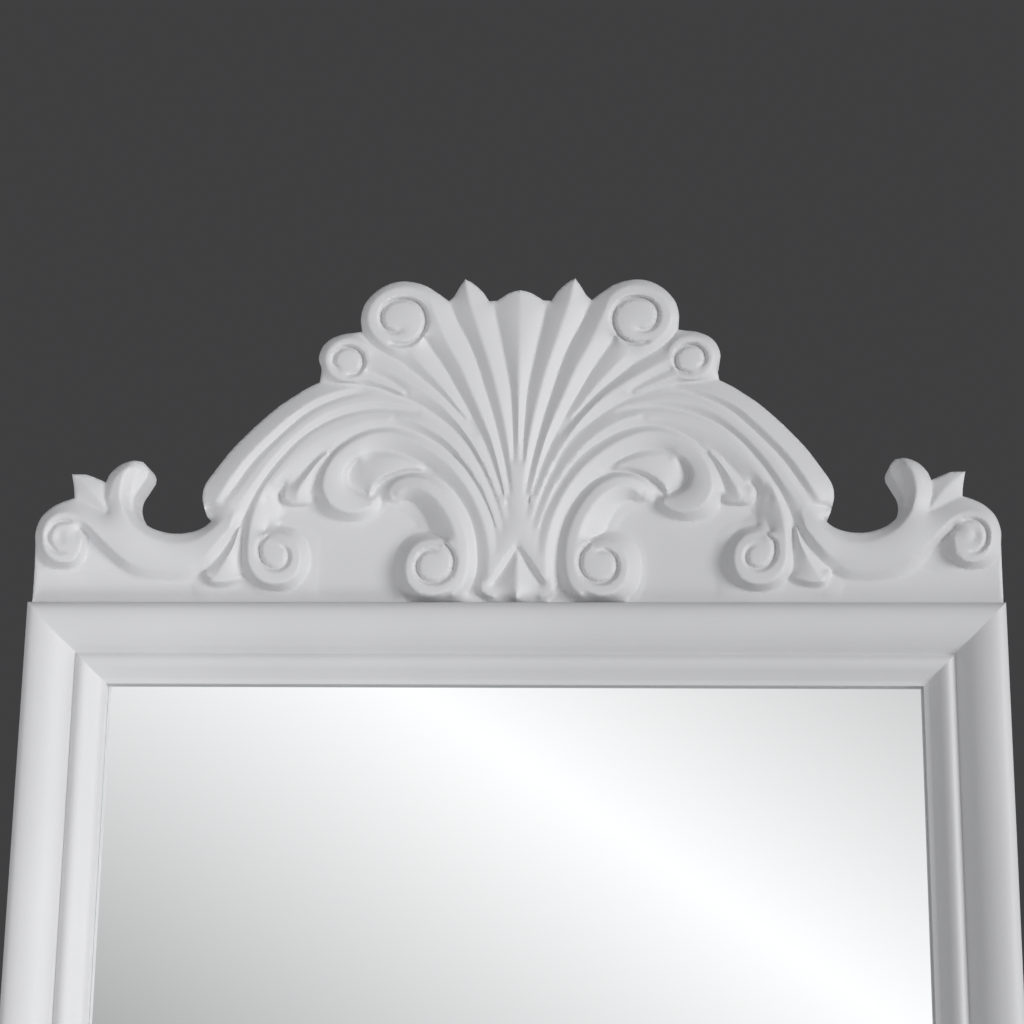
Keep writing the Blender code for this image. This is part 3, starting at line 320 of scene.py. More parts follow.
    ((38, 131, 7.2), (42.4, 134.8), (48, 136.6), (54, 135.8), (59.6, 132.8), (63.2, 128), (64.4, 122.5),
     (62.8, 117), (58.6, 112.2), (53, 109), (47, 107.5, 6.6)),
    ((64, 104, 7.2), (63.4, 108.4, 7), (67, 112.4), (72.5, 113.8), (77.7, 112), (81.2, 107.6),
     (81.6, 102.6), (79.2, 98.2), (75, 95.3), (70, 94.9), (66, 96.3)),
    # Bud in the middle of the bottom edge
    ((0, 25.6, 6), (5.4, 18), (11.6, 9.4)),
    ((0, 23, 4.4), (4.6, 15.6, 3), (9.6, 8, 2.6)),
    ((0, 23, 4.4), (0, 14, 6.2), (0, 1.5, 7.4)),
    ((11.6, 9.4, 6), (14.5, 8.6, 5), (14.2, 4.6, 4.6), (9.6, 2, 4.4)),
    ((17.6, 8, 1.6), (16.4, 3.4, 1), (13.6, 0.8, 0.8)),
    # The slanting cut at the lower end of the shoulder
    ((130.4, 41.4, 3), (127.4, 42.2, 4.4), (125.2, 42.6, 5.6), (122.4, 42.6, 5)),
    ((129.4, 39.6, 1.4), (126.8, 40.4, 2.6), (124.2, 40.8, 4), (121.6, 41, 4.9)),
)
# Narrow cuts that wind into the scrolls: the height of the edges at both sides, and the bottom
CREST_GROOVES = (
    (7.2, ((54, 111.4, 5.6), (48, 110.8, 4.4), (43, 113.4, 4), (40.2, 118), (39.8, 123), (42, 128),
           (46, 130.6), (51, 131), (55.5, 129.4), (58.3, 126), (58.6, 121.8, 4.2), (56.6, 118, 4.6),
           (53, 116.4, 5.4), (50, 117, 6.6))),
    (7, ((71.4, 97.8, 5.6), (67.6, 98.8, 4.2), (65.8, 102, 4), (66.3, 106), (69.4, 109.2), (74, 109.8),
         (77.6, 107.2, 4.2), (78.3, 103.2, 4.8), (76.2, 100.4, 6))),
    (6.6, ((103.6, 27.8, 4), (106, 25.4, 3.8), (106.4, 21.4), (105.2, 17.4, 4), (102.2, 14.6, 4.2),
           (98.4, 14, 4.4), (95.2, 15.8), (94.2, 19), (95.2, 22.2, 5), (97.6, 23.8, 6))),
    (6.9, ((185, 34.2, 5.2), (188.6, 34.4, 4.6), (191.8, 33, 4.4), (193.7, 29.9), (193.8, 26.5),
           (192.4, 23.4, 4.6), (189.8, 21.4, 5.2), (187, 21, 6.2))),
    (7.7, ((29.6, 24.4, 4.4), (26.9, 21, 4.6), (25.9, 17, 4.8), (26.8, 12.8, 5), (29.6, 9.6), (33.6, 8.2),
           (37.7, 9), (40.6, 12), (41.3, 16.2), (39.6, 20, 5.2), (36.4, 21.8, 5.8), (33.4, 21.4, 7))),
)
# The flat ground, as polygons that stay clear of the carving
CREST_GROUND = (
    ((82, 3), (81.4, 27), (87, 33), (93, 34.4), (97, 36.6), (96.6, 39), (88, 38.6), (84.6, 38.4),
     (79, 33.8), (69, 31.4), (60, 34), (54.6, 39.6), (49, 39), (44, 36), (41, 31.6), (47, 29.6),
     (51.4, 24.6), (53, 17), (52.6, 8), (50, 2)),
    ((196, 2), (196, 12), (190, 12.2), (176, 12.4), (168, 14.4), (158, 9.6), (148, 7), (134, 7),
     (132, 2)),
    ((126, 2), (118, 4.6), (110, 5.6), (104, 2.6), (96, 2)),
)

CREST_SHIFT = 2.6  # the carving's middle sits a little to the right of the frame's; its ends do not
CREST_HALF = 199.2
EYE_UP, EYE_AWAY, DRAWN_HEIGHT = -151.9, 808, 5  # the drawing is in perspective, on a plane at this height
CREST_FRONT = -0.003  # y of the flat ground
CREST_BASE = 1.4603  # z of its bottom edge
CREST_STEP = 0.75  # distance between points along the drawn lines
CREST_GRID = 0.74  # distance between points elsewhere
GROOVE_HALF_WIDTH = 1.2
CREST_FULLNESS = 0.05  # how far the carving swells between its lines
CREST_SOFTENING = 1  # rounds of smoothing that a coat of paint gives
CREST_WEAR = 0.5  # how much lower the rim is than drawn
ON_MIDDLE = 1e-6  # points nearer the middle than this are shared by both halves
ON_BOTTOM = 1  # points nearer the bottom edge than this are not worn
ROW_SPACING, LEAST_SPACING = 0.866, 0.55  # of the grid's distance
MERGE_DISTANCE = 1e-3
STIFFNESS = (0.02, 20)  # the softest and stiffest that an edge of the membrane may be
MEMBRANE_ROUNDS, MEMBRANE_REST = 1500, 1e-6


# ---- mesh helpers


def add_object(name, mesh):
    obj = bpy.data.objects.new(name, mesh)
    bpy.context.scene.collection.objects.link(obj)
    return obj


def mesh_object(name, points, faces, finish, sharp_angle=SHARP_ANGLE):
    mesh = bpy.data.meshes.new(name)
    mesh.from_pydata([tuple(p) for p in points], [], [tuple(f) for f in faces])
    work = bmesh.new()
    work.from_mesh(mesh)
    bmesh.ops.recalc_face_normals(work, faces=work.faces)
    work.to_mesh(mesh)
    work.free()
    mesh.shade_smooth()
    mesh.set_sharp_from_angle(angle=math.radians(sharp_angle))
    mesh.materials.append(finish)
    return add_object(name, mesh)


def stand_for(obj, body, node):
    """The piece rides on a body, and is shown in place of a CAD node."""
    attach(obj, body)
    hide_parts(node)


def loft(name, rings, finish, sharp_angle=SHARP_ANGLE, closed=False):
    """A solid through rings of points, capped at both ends or closed from the last ring to the first."""
    count = len(rings[0])
    points = [p for ring in rings for p in ring]
    faces = [] if closed else [range(count), range(len(points) - count, len(points))]
    for row in range(len(rings) if closed else len(rings) - 1):
        low, high = row * count, (row + 1) % len(rings) * count
        for k in range(count):
            after = (k + 1) % count
            faces.append((low + k, low + after, high + after, high + k))
    return mesh_object(name, points, faces, finish, sharp_angle)


# ---- materials


class Nodes:
    """Adds and joins the shader nodes of a material or a world."""

    def __init__(self, owner, place="Object"):
        owner.use_nodes = True
        self.owner = owner
        self.tree = owner.node_tree
        self.shader = self.tree.nodes.get("Principled BSDF")
        self.place = self.add("ShaderNodeTexCoord").outputs[place]

    def add(self, kind, values=(), **settings):
        node = self.tree.nodes.new(kind)
        for key, value in settings.items():
            setattr(node, key, value)
        for key, value in values:
            node.inputs[key].default_value = value
        return node

    def join(self, source, target):
        self.tree.links.new(source, target)

    def stretched(self, scale):
        node = self.add("ShaderNodeMapping", [("Scale", scale)])
        self.join(self.place, node.inputs["Vector"])
        return node.outputs[0]

    def noise(self, scale, detail=4.0, roughness=0.5, distortion=0.0, source=None):
        values = zip(("Scale", "Detail", "Roughness", "Distortion"), (scale, detail, roughness, distortion))
        node = self.add("ShaderNodeTexNoise", values)
        self.join(source or self.place, node.inputs["Vector"])
        return node.outputs["Fac"]

    def ramp(self, source, stops):
        node = self.add("ShaderNodeValToRGB")
        ramp = node.color_ramp
        while len(ramp.elements) < len(stops):
            ramp.elements.new(0.5)
        for element, (position, colour) in zip(ramp.elements, stops):
            element.position = position
            element.color = (*colour, 1)
        self.join(source, node.inputs["Fac"])
        return node.outputs["Color"]

    def spread(self, source, low, high, start=0.0, end=1.0, kind="LINEAR"):
        values = zip(("From Min", "From Max", "To Min", "To Max"), (start, end, low, high))
        node = self.add("ShaderNodeMapRange", values, interpolation_type=kind)
        self.join(source, node.inputs["Value"])
        return node.outputs[0]

    def mix(self, factor, one, two):
        node = self.add("ShaderNodeMix", data_type="RGBA")
        for key, source in (("Factor", factor), ("A", one), ("B", two)):
            self.join(source, node.inputs[key])
        return node.outputs["Result"]

    def bump(self, source, height, distance=0.001, after=None):
        node = self.add("ShaderNodeBump", [("Strength", height), ("Distance", distance)])
        self.join(source, node.inputs["Height"])
        if after:
            self.join(after, node.inputs["Normal"])
        return node.outputs[0]

    def towards(self, direction):
        """How far the place points in a direction, from -1 to 1."""
        node = self.add("ShaderNodeVectorMath", operation="DOT_PRODUCT")
        node.inputs[1].default_value = Vector(direction).normalized()
        self.join(self.place, node.inputs[0])
        return node.outputs["Value"]

    def worked_out(self, operation, *sources):
        node = self.add("ShaderNodeMath", operation=operation)
        for source, socket in zip(sources, node.inputs):
            self.join(source, socket)
        return node.outputs[0]

    def set(self, **values):
        for key, value in values.items():
            self.shader.inputs[key.replace("_", " ")].default_value = value

    def feed(self, key, source):
        self.join(source, self.shader.inputs[key])


def material(name):
    return Nodes(bpy.data.materials.new(name))


def paint():
    """Sprayed satin white over wood: faint mottling, a fine orange peel and slow roughness changes."""
    n = material("satin_white_paint")
    mottle = n.noise(9, 3, 0.5)
    n.feed("Base Color", n.ramp(mottle, ((0.3, (0.72, 0.72, 0.735)), (0.7, (0.77, 0.77, 0.782)))))
    n.feed("Roughness", n.spread(n.noise(60, 3, 0.6), 0.46, 0.58))
    peel = n.bump(n.noise(900, 2, 0.5), 0.10, 0.0004)
    n.feed("Normal", n.bump(n.noise(70, 3, 0.5), 0.12, 0.0008, peel))
    n.set(IOR=1.47)
    return n.owner


def silver():
    """Silvered glass: a clean reflection with the lightest haze of dust and wiping."""
    n = material("silvered_glass")
    wiped = n.noise(7, 5, 0.6, 1.2, n.stretched((1, 1, 0.35)))
    n.feed("Roughness", n.spread(wiped, 0.0, 0.035, 0.35, 0.75))
    n.feed("Base Color", n.ramp(n.noise(3, 2), ((0.3, (0.93, 0.945, 0.945)), (0.7, (0.95, 0.96, 0.96)))))
    n.set(Metallic=1.0)
    return n.owner


def fibreboard():
    n = material("pressed_fibreboard")
    fibres = n.noise(500, 6, 0.7, 0.6)
    cloudy = n.noise(12, 3)
    browns = ((0.25, (0.20, 0.125, 0.07)), (0.55, (0.33, 0.22, 0.13)), (0.8, (0.47, 0.34, 0.21)))
    colour = n.ramp(fibres, browns)
    shades = n.ramp(cloudy, ((0, (0.3, 0.2, 0.12)), (1, (0.4, 0.28, 0.17))))
    n.feed("Base Color", n.mix(n.spread(cloudy, 0.0, 0.35), colour, shades))
    n.feed("Roughness", n.spread(fibres, 0.7, 0.92))
    n.feed("Normal", n.bump(fibres, 0.35, 0.0006))
    return n.owner


def metal(name, dark, light, rough, brushing=(1, 1, 1)):
    n = material(name)
    lines = n.noise(400, 3, 0.6, 0.0, n.stretched(brushing))
    clouds = n.noise(60, 4, 0.6)
    n.feed("Base Color", n.ramp(clouds, ((0.3, dark), (0.7, light))))
    n.feed("Roughness", n.spread(lines, rough - 0.08, rough + 0.10))
    n.feed("Normal", n.bump(lines, 0.12, 0.0002))
    n.set(Metallic=1.0)
    return n.owner


def moulded(name, dark, light, rough, grain=800):
    n = material(name)
    grains = n.noise(grain, 3, 0.6)
    clouds = n.noise(40, 3)
    n.feed("Base Color", n.ramp(clouds, ((0.3, dark), (0.7, light))))
    n.feed("Roughness", n.spread(grains, rough - 0.06, rough + 0.08))
    n.feed("Normal", n.bump(grains, 0.15, 0.0003))
    return n.owner


def floor_finish():
    n = material("pale_floor_painted_glow")
    clouds = n.noise(1.6, 4, 0.5)
    n.feed("Base Color", n.ramp(clouds, ((0.3, (0.70, 0.70, 0.70)), (0.7, (0.74, 0.74, 0.74)))))
    n.feed("Roughness", n.spread(n.noise(30, 3), 0.55, 0.7))
    # The floor glows: painted light that stands in for daylight thrown back up from a sunlit floor
    n.set(Emission_Color=(1, 1, 1, 1), Emission_Strength=FLOOR_PAINTED_GLOW)
    return n.owner


# ---- the carved crest


def completed(knots):
    """Knots in which a third value that is left out is that of the knot before."""
    full = []
    for knot in knots:
        full.append(knot if len(knot) == len(knots[0]) else (*knot, full[-1][-1]))
    return full


def smooth_curve(knots, step):
    """A Catmull-Rom curve through the knots, with a point about every step."""
    knots = np.array(completed(knots), float)
    padded = np.vstack([2 * knots[0] - knots[1], knots, 2 * knots[-1] - knots[-2]])
    found = []
    for before, start, end, after in zip(padded, padded[1:], padded[2:], padded[3:]):
        count = max(1, round(math.dist(start[:2], end[:2]) / step))
        t = (np.arange(count) / count)[:, None]
        straight = 2 * start + (end - before) * t
        bent = (2 * before - 5 * start + 4 * end - after) * t**2
        twisted = (3 * start - before - 3 * end + after) * t**3
        found.append((straight + bent + twisted) / 2)
    return np.vstack([*found, knots[-1]])


def curve_through(runs, step):
    """One line through smooth runs of knots, each of which starts where the one before it ends."""
    line = smooth_curve(runs[0], step)
    for run in runs[1:]:
        line = np.vstack([line[:-1], smooth_curve([line[-1], *run], step)])
    return line


def inside(points, outline):
    """Which points lie inside a closed outline, by counting crossings."""
    within = np.zeros(len(points), bool)
    for start, end in zip(outline, np.roll(outline, -1, axis=0)):
        crosses = (start[1] > points[:, 1]) != (end[1] > points[:, 1])
        slope = (end[0] - start[0]) / (end[1] - start[1] + 1e-12)
        within ^= crosses & (points[:, 0] < start[0] + slope * (points[:, 1] - start[1]))
    return within


def in_place(points):
    """Drawn points, moved along their sight lines from the drawing's plane to their own heights."""
    scale = 1 + (DRAWN_HEIGHT - points[:, 2]) / EYE_AWAY
    return np.column_stack([points[:, 0] * scale, EYE_UP + (points[:, 1] - EYE_UP) * scale, points[:, 2]])


def crest_border():
    """The half crest's outline, and the free points down its middle line that close it."""
    outline = curve_through(CREST_OUTLINE, CREST_STEP)
    outline[:, 0] = np.maximum(outline[:, 0], 0)
    heights = np.arange(outline[-1, 1] - CREST_STEP, CREST_STEP / 2, -CREST_STEP)
    middle = np.column_stack([np.zeros(heights.size), heights, np.zeros(heights.size)])
    return outline, middle


def drawn_lines():
    """Every drawn line, and the bottom and both edges of every groove."""
    lines = [smooth_curve(knots, CREST_STEP) for knots in CREST_LINES]
    for edge_height, knots in CREST_GROOVES:
        bottom = smooth_curve(knots, CREST_STEP)
        along_it = np.gradient(bottom[:, :2], axis=0)
        across_it = np.column_stack([-along_it[:, 1], along_it[:, 0]])
        across_it /= np.linalg.norm(across_it, axis=1)[:, None]
        lines.append(bottom)
        for side in (-GROOVE_HALF_WIDTH, GROOVE_HALF_WIDTH):
            edge = bottom[:, :2] + side * across_it
            lines.append(np.column_stack([edge, np.full(len(edge), edge_height)]))
    return lines


def scattered_points(border, known):
    """Free points in staggered rows, clear of every drawn point."""
    rows = []
    for row, up in enumerate(np.arange(CREST_GRID / 2, border[:, 1].max(), CREST_GRID * ROW_SPACING)):
        start = CREST_GRID * (0.5 + 0.5 * (row % 2))
        across = np.arange(start, border[:, 0].max(), CREST_GRID)
        rows.append(np.column_stack([across, np.full(across.size, up)]))
    spots = np.vstack(rows)
    spots = spots[inside(spots, border[:, :2])]
    tree = KDTree(len(known))
    for index, point in enumerate(known):
        tree.insert((point[0], point[1], 0), index)
    tree.balance()
    nearest = np.array([tree.find((across, up, 0))[2] for across, up in spots])
    return spots[nearest > LEAST_SPACING * CREST_GRID]


def membrane(points, triangles, height, fixed):
    """Heights of the free points, a slightly swollen soap film over the fixed ones. Conjugate gradients."""
    ends, weights = [], []
    for k in range(3):
        apex, one, two = (points[triangles[:, (k + j) % 3]] for j in range(3))
        first, second = one - apex, two - apex
        cross = np.abs(first[:, 0] * second[:, 1] - first[:, 1] * second[:, 0])
        weights.append(np.clip((first * second).sum(1) / np.maximum(cross, 1e-9), *STIFFNESS) / 2)
        ends.append(triangles[:, [(k + 1) % 3, (k + 2) % 3]])
    ends, weights = np.vstack(ends), np.concatenate(weights)
    area = np.bincount(triangles.ravel(), np.repeat(cross / 6, 3), len(points))

    def pull(values):
        flow = weights * (values[ends[:, 0]] - values[ends[:, 1]])
        total = np.bincount(ends[:, 0], flow, len(points)) - np.bincount(ends[:, 1], flow, len(points))
        return np.where(fixed, 0, total)

    found = np.where(fixed, height, 0.0)
    residual = np.where(fixed, 0, CREST_FULLNESS * area) - pull(found)
    step = residual.copy()
    size = residual @ residual
    for _ in range(MEMBRANE_ROUNDS):
        pulled = pull(step)
        rate = size / max(step @ pulled, 1e-12)
        found += rate * step
        residual -= rate * pulled
        after = residual @ residual
        if after < MEMBRANE_REST:
            break
        step = residual + after / size * step
        size = after
    return found


def crest_net():
    """A net of triangles over half the carved face, with the heights of its drawn and flat points."""
    outline, middle = crest_border()
    border = np.vstack([outline, middle])
    flat, edges = [], []
    for line in drawn_lines():
        line[:, 0] = np.maximum(line[:, 0], 0)
        first = len(border) + len(flat)
        flat += list(line)
        edges += [(first + k, first + k + 1) for k in range(len(line) - 1)]
    known = np.vstack([border, flat])
    drawn = np.ones(len(known), bool)
    drawn[len(outline) : len(border)] = False
    spots = scattered_points(border, known)
    places = [Vector(p[:2]) for p in known] + [Vector(s) for s in spots]
    made = delaunay_2d_cdt(places, edges, [list(range(len(border)))], 1, MERGE_DISTANCE)
    points, triangles = np.array([tuple(p) for p in made[0]]), np.array(made[2])
    height = np.zeros(len(points))
    fixed = np.zeros(len(points), bool)
    for index, sources in enumerate(made[3]):
        fixing = [s for s in sources if s < len(known) and drawn[s]]
        if fixing:
            height[index] = known[fixing, 2].mean()
            fixed[index] = True
    for corners in CREST_GROUND:
        fixed |= inside(points, np.array(corners, float))
    used = np.unique(triangles)
    renumbered = np.full(len(points), -1)
    renumbered[used] = np.arange(len(used))
    return points[used], renumbered[triangles], height[used], fixed[used]


def crest_relief():
    """Points, heights, triangles and border edges of half the carved face."""
    points, triangles, height, fixed = crest_net()
    height = membrane(points, triangles, height, fixed)
    directed = np.vstack([triangles[:, [0, 1]], triangles[:, [1, 2]], triangles[:, [2, 0]]])
    present = {tuple(edge) for edge in directed.tolist()}
    border = [edge for edge in present if edge[::-1] not in present]
    return points, soften(points, height, directed, border), triangles, border


def soften(points, height, directed, border):
    """Rounds every crease a little, and keeps the rim's own height, less its wear."""
    both = np.vstack([directed, directed[:, ::-1]])
    count = np.bincount(both[:, 0], minlength=len(points))
    rim = np.zeros(len(points), bool)
    rim[[start for start, _ in border]] = True
    rim &= points[:, 0] > ON_MIDDLE
    for _ in range(CREST_SOFTENING):
        mean = np.bincount(both[:, 0], height[both[:, 1]], len(points)) / count
        height = np.where(rim, height, (height + mean) / 2)
    return np.where(rim & (points[:, 1] > ON_BOTTOM), height - CREST_WEAR, height)


def crest_front(points, height):
    """The points of both halves in metres, left half first."""
    front = []
    for side in (-1, 1):
        for across, up, h in in_place(np.column_stack([points, height])):
            shift = CREST_SHIFT * (1 - (across / CREST_HALF) ** 2)
            place = (shift + side * across, CREST_FRONT / MM - h, CREST_BASE / MM + max(up, 0))
            front.append(Vector(place) * MM)
    return front


def crest(white):
    """Both halves of the relief, a side wall around the outline and a flat back."""
    points, height, triangles, border = crest_relief()
    on_middle = points[:, 0] < ON_MIDDLE
    twin = np.arange(len(points)) + len(points)
    twin[on_middle] = np.nonzero(on_middle)[0]
    twin = twin.tolist()
    front = crest_front(points, height)
    faces = triangles.tolist()
    faces += [[twin[k] for k in reversed(triangle)] for triangle in faces]
    following = {}
    for start, end in border:
        if not (on_middle[start] and on_middle[end]):
            following[start] = end
            following[twin[end]] = twin[start]
    ring = [next(iter(following))]
    while following[ring[-1]] != ring[0]:
        ring.append(following[ring[-1]])
    behind = {k: len(front) + place for place, k in enumerate(ring)}
    faces += [(k, following[k], behind[following[k]], behind[k]) for k in ring]
    faces.append([behind[k] for k in ring])
    back = [(front[k].x, BACK_Y, front[k].z) for k in ring]
    obj = mesh_object("carved_crest", front + back, faces, white, sharp_angle=42)
    stand_for(obj, "mirror", "crest")


# ---- turned, swept and drilled shapes


def along(axis, distance, across, up):
    """A point at a distance along X, Y or Z, with two offsets in the plane across that axis."""
    if axis == "X":
        return (distance, across, up)
    if axis == "Y":
        return (across, distance, up)
    return (across, up, distance)


def turned(name, axis, centre, profile, finish, sides=TURNED_SIDES, closed=False):
    """A solid of revolution. Its profile, (distance, radius), runs from axis to axis or closes on itself."""
    rings = []
    for distance, radius in profile:
        if radius > 0:
            turns = [math.tau * k / sides for k in range(sides)]
            ring = [along(axis, distance, radius * math.cos(t), radius * math.sin(t)) for t in turns]
            rings.append([Vector(centre) + Vector(spot) for spot in ring])
    return loft(name, rings, finish, closed=closed)


def inset(outline, distance):
    """A closed counter-clockwise outline, moved inwards by a distance."""
    before = outline - np.roll(outline, 1, axis=0)
    after = np.roll(outline, -1, axis=0) - outline
    normals = []
    for edge in (before, after):
        length = np.maximum(np.hypot(edge[:, 0], edge[:, 1]), 1e-9)[:, None]
        normals.append(np.column_stack([-edge[:, 1], edge[:, 0]]) / length)
    total = normals[0] + normals[1]
    share = np.maximum((1 + (normals[0] * normals[1]).sum(1))[:, None], 0.3)
    return outline + total / share * distance


def rounded_slab(name, axis, outline, low, high, radius, finish):
    """A flat outline pushed along an axis, with its edges rounded over."""
    rings = []
    turns = np.radians(np.linspace(0, 90, 6))
    for face, way in ((low, 1), (high, -1)):
        rows = []
        for turn in turns:
            shape = inset(outline, radius * (1 - math.sin(turn)))
            place = face + way * radius * (1 - math.cos(turn))
            rows.append([along(axis, place, across, up) for across, up in shape])
        rings += rows if way > 0 else rows[::-1]
    return loft(name, rings, finish)


def drilled(obj, *holes):
    """Cuts round holes, (axis, centre, radius, start, end), and keeps the result as the object's mesh."""
    finish = obj.data.materials[0]
    cutters = []
    for axis, centre, radius, start, end in holes:
        profile = ((start, 0), (start, radius), (end, radius), (end, 0))
        cutter = turned("hole", axis, centre, profile, finish, HOLE_SIDES)
        cut = obj.modifiers.new("hole", "BOOLEAN")
        cut.operation = "DIFFERENCE"
        cut.solver = "EXACT"
        cut.object = cutter
        cutters.append(cutter)
    bpy.context.view_layer.update()
    cut_shape = bpy.data.meshes.new_from_object(obj.evaluated_get(bpy.context.evaluated_depsgraph_get()))
    obj.modifiers.clear()
    obj.data = cut_shape
    cut_shape.name = obj.name
    for cutter in cutters:
        bpy.data.objects.remove(cutter, do_unlink=True)
    cut_shape.set_sharp_from_angle(angle=math.radians(SHARP_ANGLE))
    return obj


# ---- the mirror's frame


def moulding_bar(name, length, turn, centre, section, white):
    """One mitred side of the frame. It is made as the top side and then turned about Y."""
    rings = []
    for end in (-1, 1):
        rings.append([(end * (length / 2 - a * MM), BACK_Y - f * MM, -a * MM) for a, f in section])
    bar = loft(name, rings, white, sharp_angle=32)
    bar.data.transform(Matrix.Translation(centre) @ Matrix.Rotation(turn, 4, "Y"))
    return bar


def frame_bars(white):
    section = curve_through(MOULDING, step=0.6)
    height, middle = FRAME_TOP - FRAME_BOTTOM, (FRAME_TOP + FRAME_BOTTOM) / 2
    for name, length, turn, centre in (
        ("top_rail", 2 * HALF_WIDTH, 0, (0, 0, FRAME_TOP)),
        ("right_stile", height, math.pi / 2, (HALF_WIDTH, 0, middle)),
        ("bottom_rail", 2 * HALF_WIDTH, math.pi, (0, 0, FRAME_BOTTOM)),
        ("left_stile", height, -math.pi / 2, (-HALF_WIDTH, 0, middle)),
    ):
        bar = moulding_bar(f"moulded_{name}", length, turn, centre, section, white)
        if name.endswith("stile"):
            out = 1 if name.startswith("right") else -1
            bottom, outside = out * (HALF_WIDTH - INSERT_HOLE_DEPTH), out * (HALF_WIDTH + CLEAR_OF_STILE)
            drilled(bar, ("X", PIVOT, INSERT_HOLE, bottom, outside))
        stand_for(bar, "mirror", name)


def screw(name, x, z, node, steel):
    """A pan-head screw with a cross recess, driven forwards through a strap on the back."""
    head_radius, shank_radius, tip_radius, start_radius = 3.4, 1.6, 0.3, 1.5
    length, tip_length, dome_height, gap = 13, 3, 1.9, 0.3
    slot_half_width, slot_depth = 0.42, 0.9
    strap = STRAP_BACK / MM
    head = strap + gap
    tip = strap - length
    profile = [(tip, tip_radius), (tip + tip_length, start_radius)]
    profile += [(head, shank_radius), (head, head_radius)]
    for turn in np.radians(np.arange(6, 90, 6)):
        profile.append((head + dome_height * math.sin(turn), head_radius * math.cos(turn)))
    rings = []
    for y, radius in profile:
        ring = []
        for k in range(TURNED_SIDES):
            angle = math.tau * k / TURNED_SIDES
            across, up = radius * math.cos(angle), radius * math.sin(angle)
            in_slot = min(abs(across), abs(up)) < slot_half_width and y > strap + slot_depth
            ring.append((x + across * MM, (y - in_slot * slot_depth) * MM, z + up * MM))
        rings.append(ring)
    stand_for(loft(name, rings, steel, sharp_angle=30), "mirror", node)


def fixings(steel):
    """The screws of the corner brackets and of the crest's plates."""
    for side, out in SIDES:
        for level, way, corner in (("bottom", -1, FRAME_BOTTOM), ("top", 1, FRAME_TOP)):
            for where, across, up in BRACKET_SCREWS:
                name = f"bracket_screw_{level}_{side}_{where}"
                screw(f"fine_{name}", out * (HALF_WIDTH - across), corner - way * up, name, steel)
        for where, up in CREST_SCREWS:
            name = f"crest_screw_{side}_{where}"
            screw(f"fine_{name}", out * CREST_SCREW_X, FRAME_TOP + up, name, steel)


# ---- the stand


def post_ring(x, z, half, squareness):
    """A ring that goes from round to square with eased corners."""
    power = ROUND_POWER + SQUARE_POWER * squareness**2
    ring = []
    for k in range(POST_SIDES):
        angle = math.tau * (k + 0.5) / POST_SIDES
        across, along_y = math.cos(angle), math.sin(angle)
        radius = half * (abs(across) ** power + abs(along_y) ** power) ** (-1 / power)
        ring.append(((x + radius * across) * MM, radius * along_y * MM, z * MM))
    return ring


def mirrored(half):
    """A closed outline in metres, from its right half in mm."""
    return np.vstack([half, (half[::-1] * (-1, 1))[1:-1]]) * MM


def posts(white):
    sections = curve_through(POST_RUNS, step=2)
    for side, out in SIDES:
        rings = [post_ring(out * POST_X / MM, *section) for section in sections]
        post = loft(f"turned_{side}_post", rings, white, sharp_angle=32)
        x = out * POST_X
        inner, outer = x - out * ACROSS_POST, x + out * ACROSS_POST
        drilled(
            post,
            ("X", PIVOT, STUD_HOLE, inner, outer),
            ("X", (0, 0, STRETCHER_Z), BOLT_HOLE, inner, outer),
            ("X", (0, 0, STRETCHER_Z), BOLT_RECESS, x + out * RECESS_START, outer),
            ("Z", (x, 0, 0), SPIGOT_HOLE, *SPIGOT_HOLE_ENDS),
            ("Z", (x, 0, 0), FOOT_BOLT_HOLE, *POST_BOLT_ENDS),
        )
        stand_for(post, "stand", f"{side}_post")


def finials(white):
    profile = curve_through(FINIAL_RUNS, step=0.8) * MM
    for side, out in SIDES:
        shape = turned(f"turned_{side}_finial", "Z", (out * POST_X, 0, 0), profile, white)
        stand_for(shape, "stand", f"{side}_finial")


def feet(white):
    outline = mirrored(curve_through(FOOT_RUNS, step=3))
    for side, out in SIDES:
        x = out * POST_X
        faces = (x - FOOT_HALF_THICKNESS, x + FOOT_HALF_THICKNESS)
        foot = rounded_slab(f"scrolled_{side}_foot", "X", outline, *faces, FOOT_EDGE, white)
        hole = ("Z", (x, 0, 0), FOOT_BOLT_HOLE, *FOOT_BOLT_ENDS)
        recess = ("Z", (x, 0, 0), FOOT_BOLT_RECESS, *FOOT_RECESS_ENDS)
        drilled(foot, hole, recess)
        stand_for(foot, "stand", f"{side}_foot")


def glides(rubber):
    profile = ((0, 0), (0, 9.2), (0.25, 10.2), (0.9, 10.9), (1.6, 11), (8.7, 11), (8.7, 0))
    for side, out in SIDES:
        for end, way in (("front", -1), ("rear", 1)):
            centre = (out * POST_X, way * GLIDE_Y, 0)
            glide = turned(f"soft_glide_{end}_{side}", "Z", centre, np.array(profile) * MM, rubber)
            stand_for(glide, "stand", f"glide_{end}_{side}")


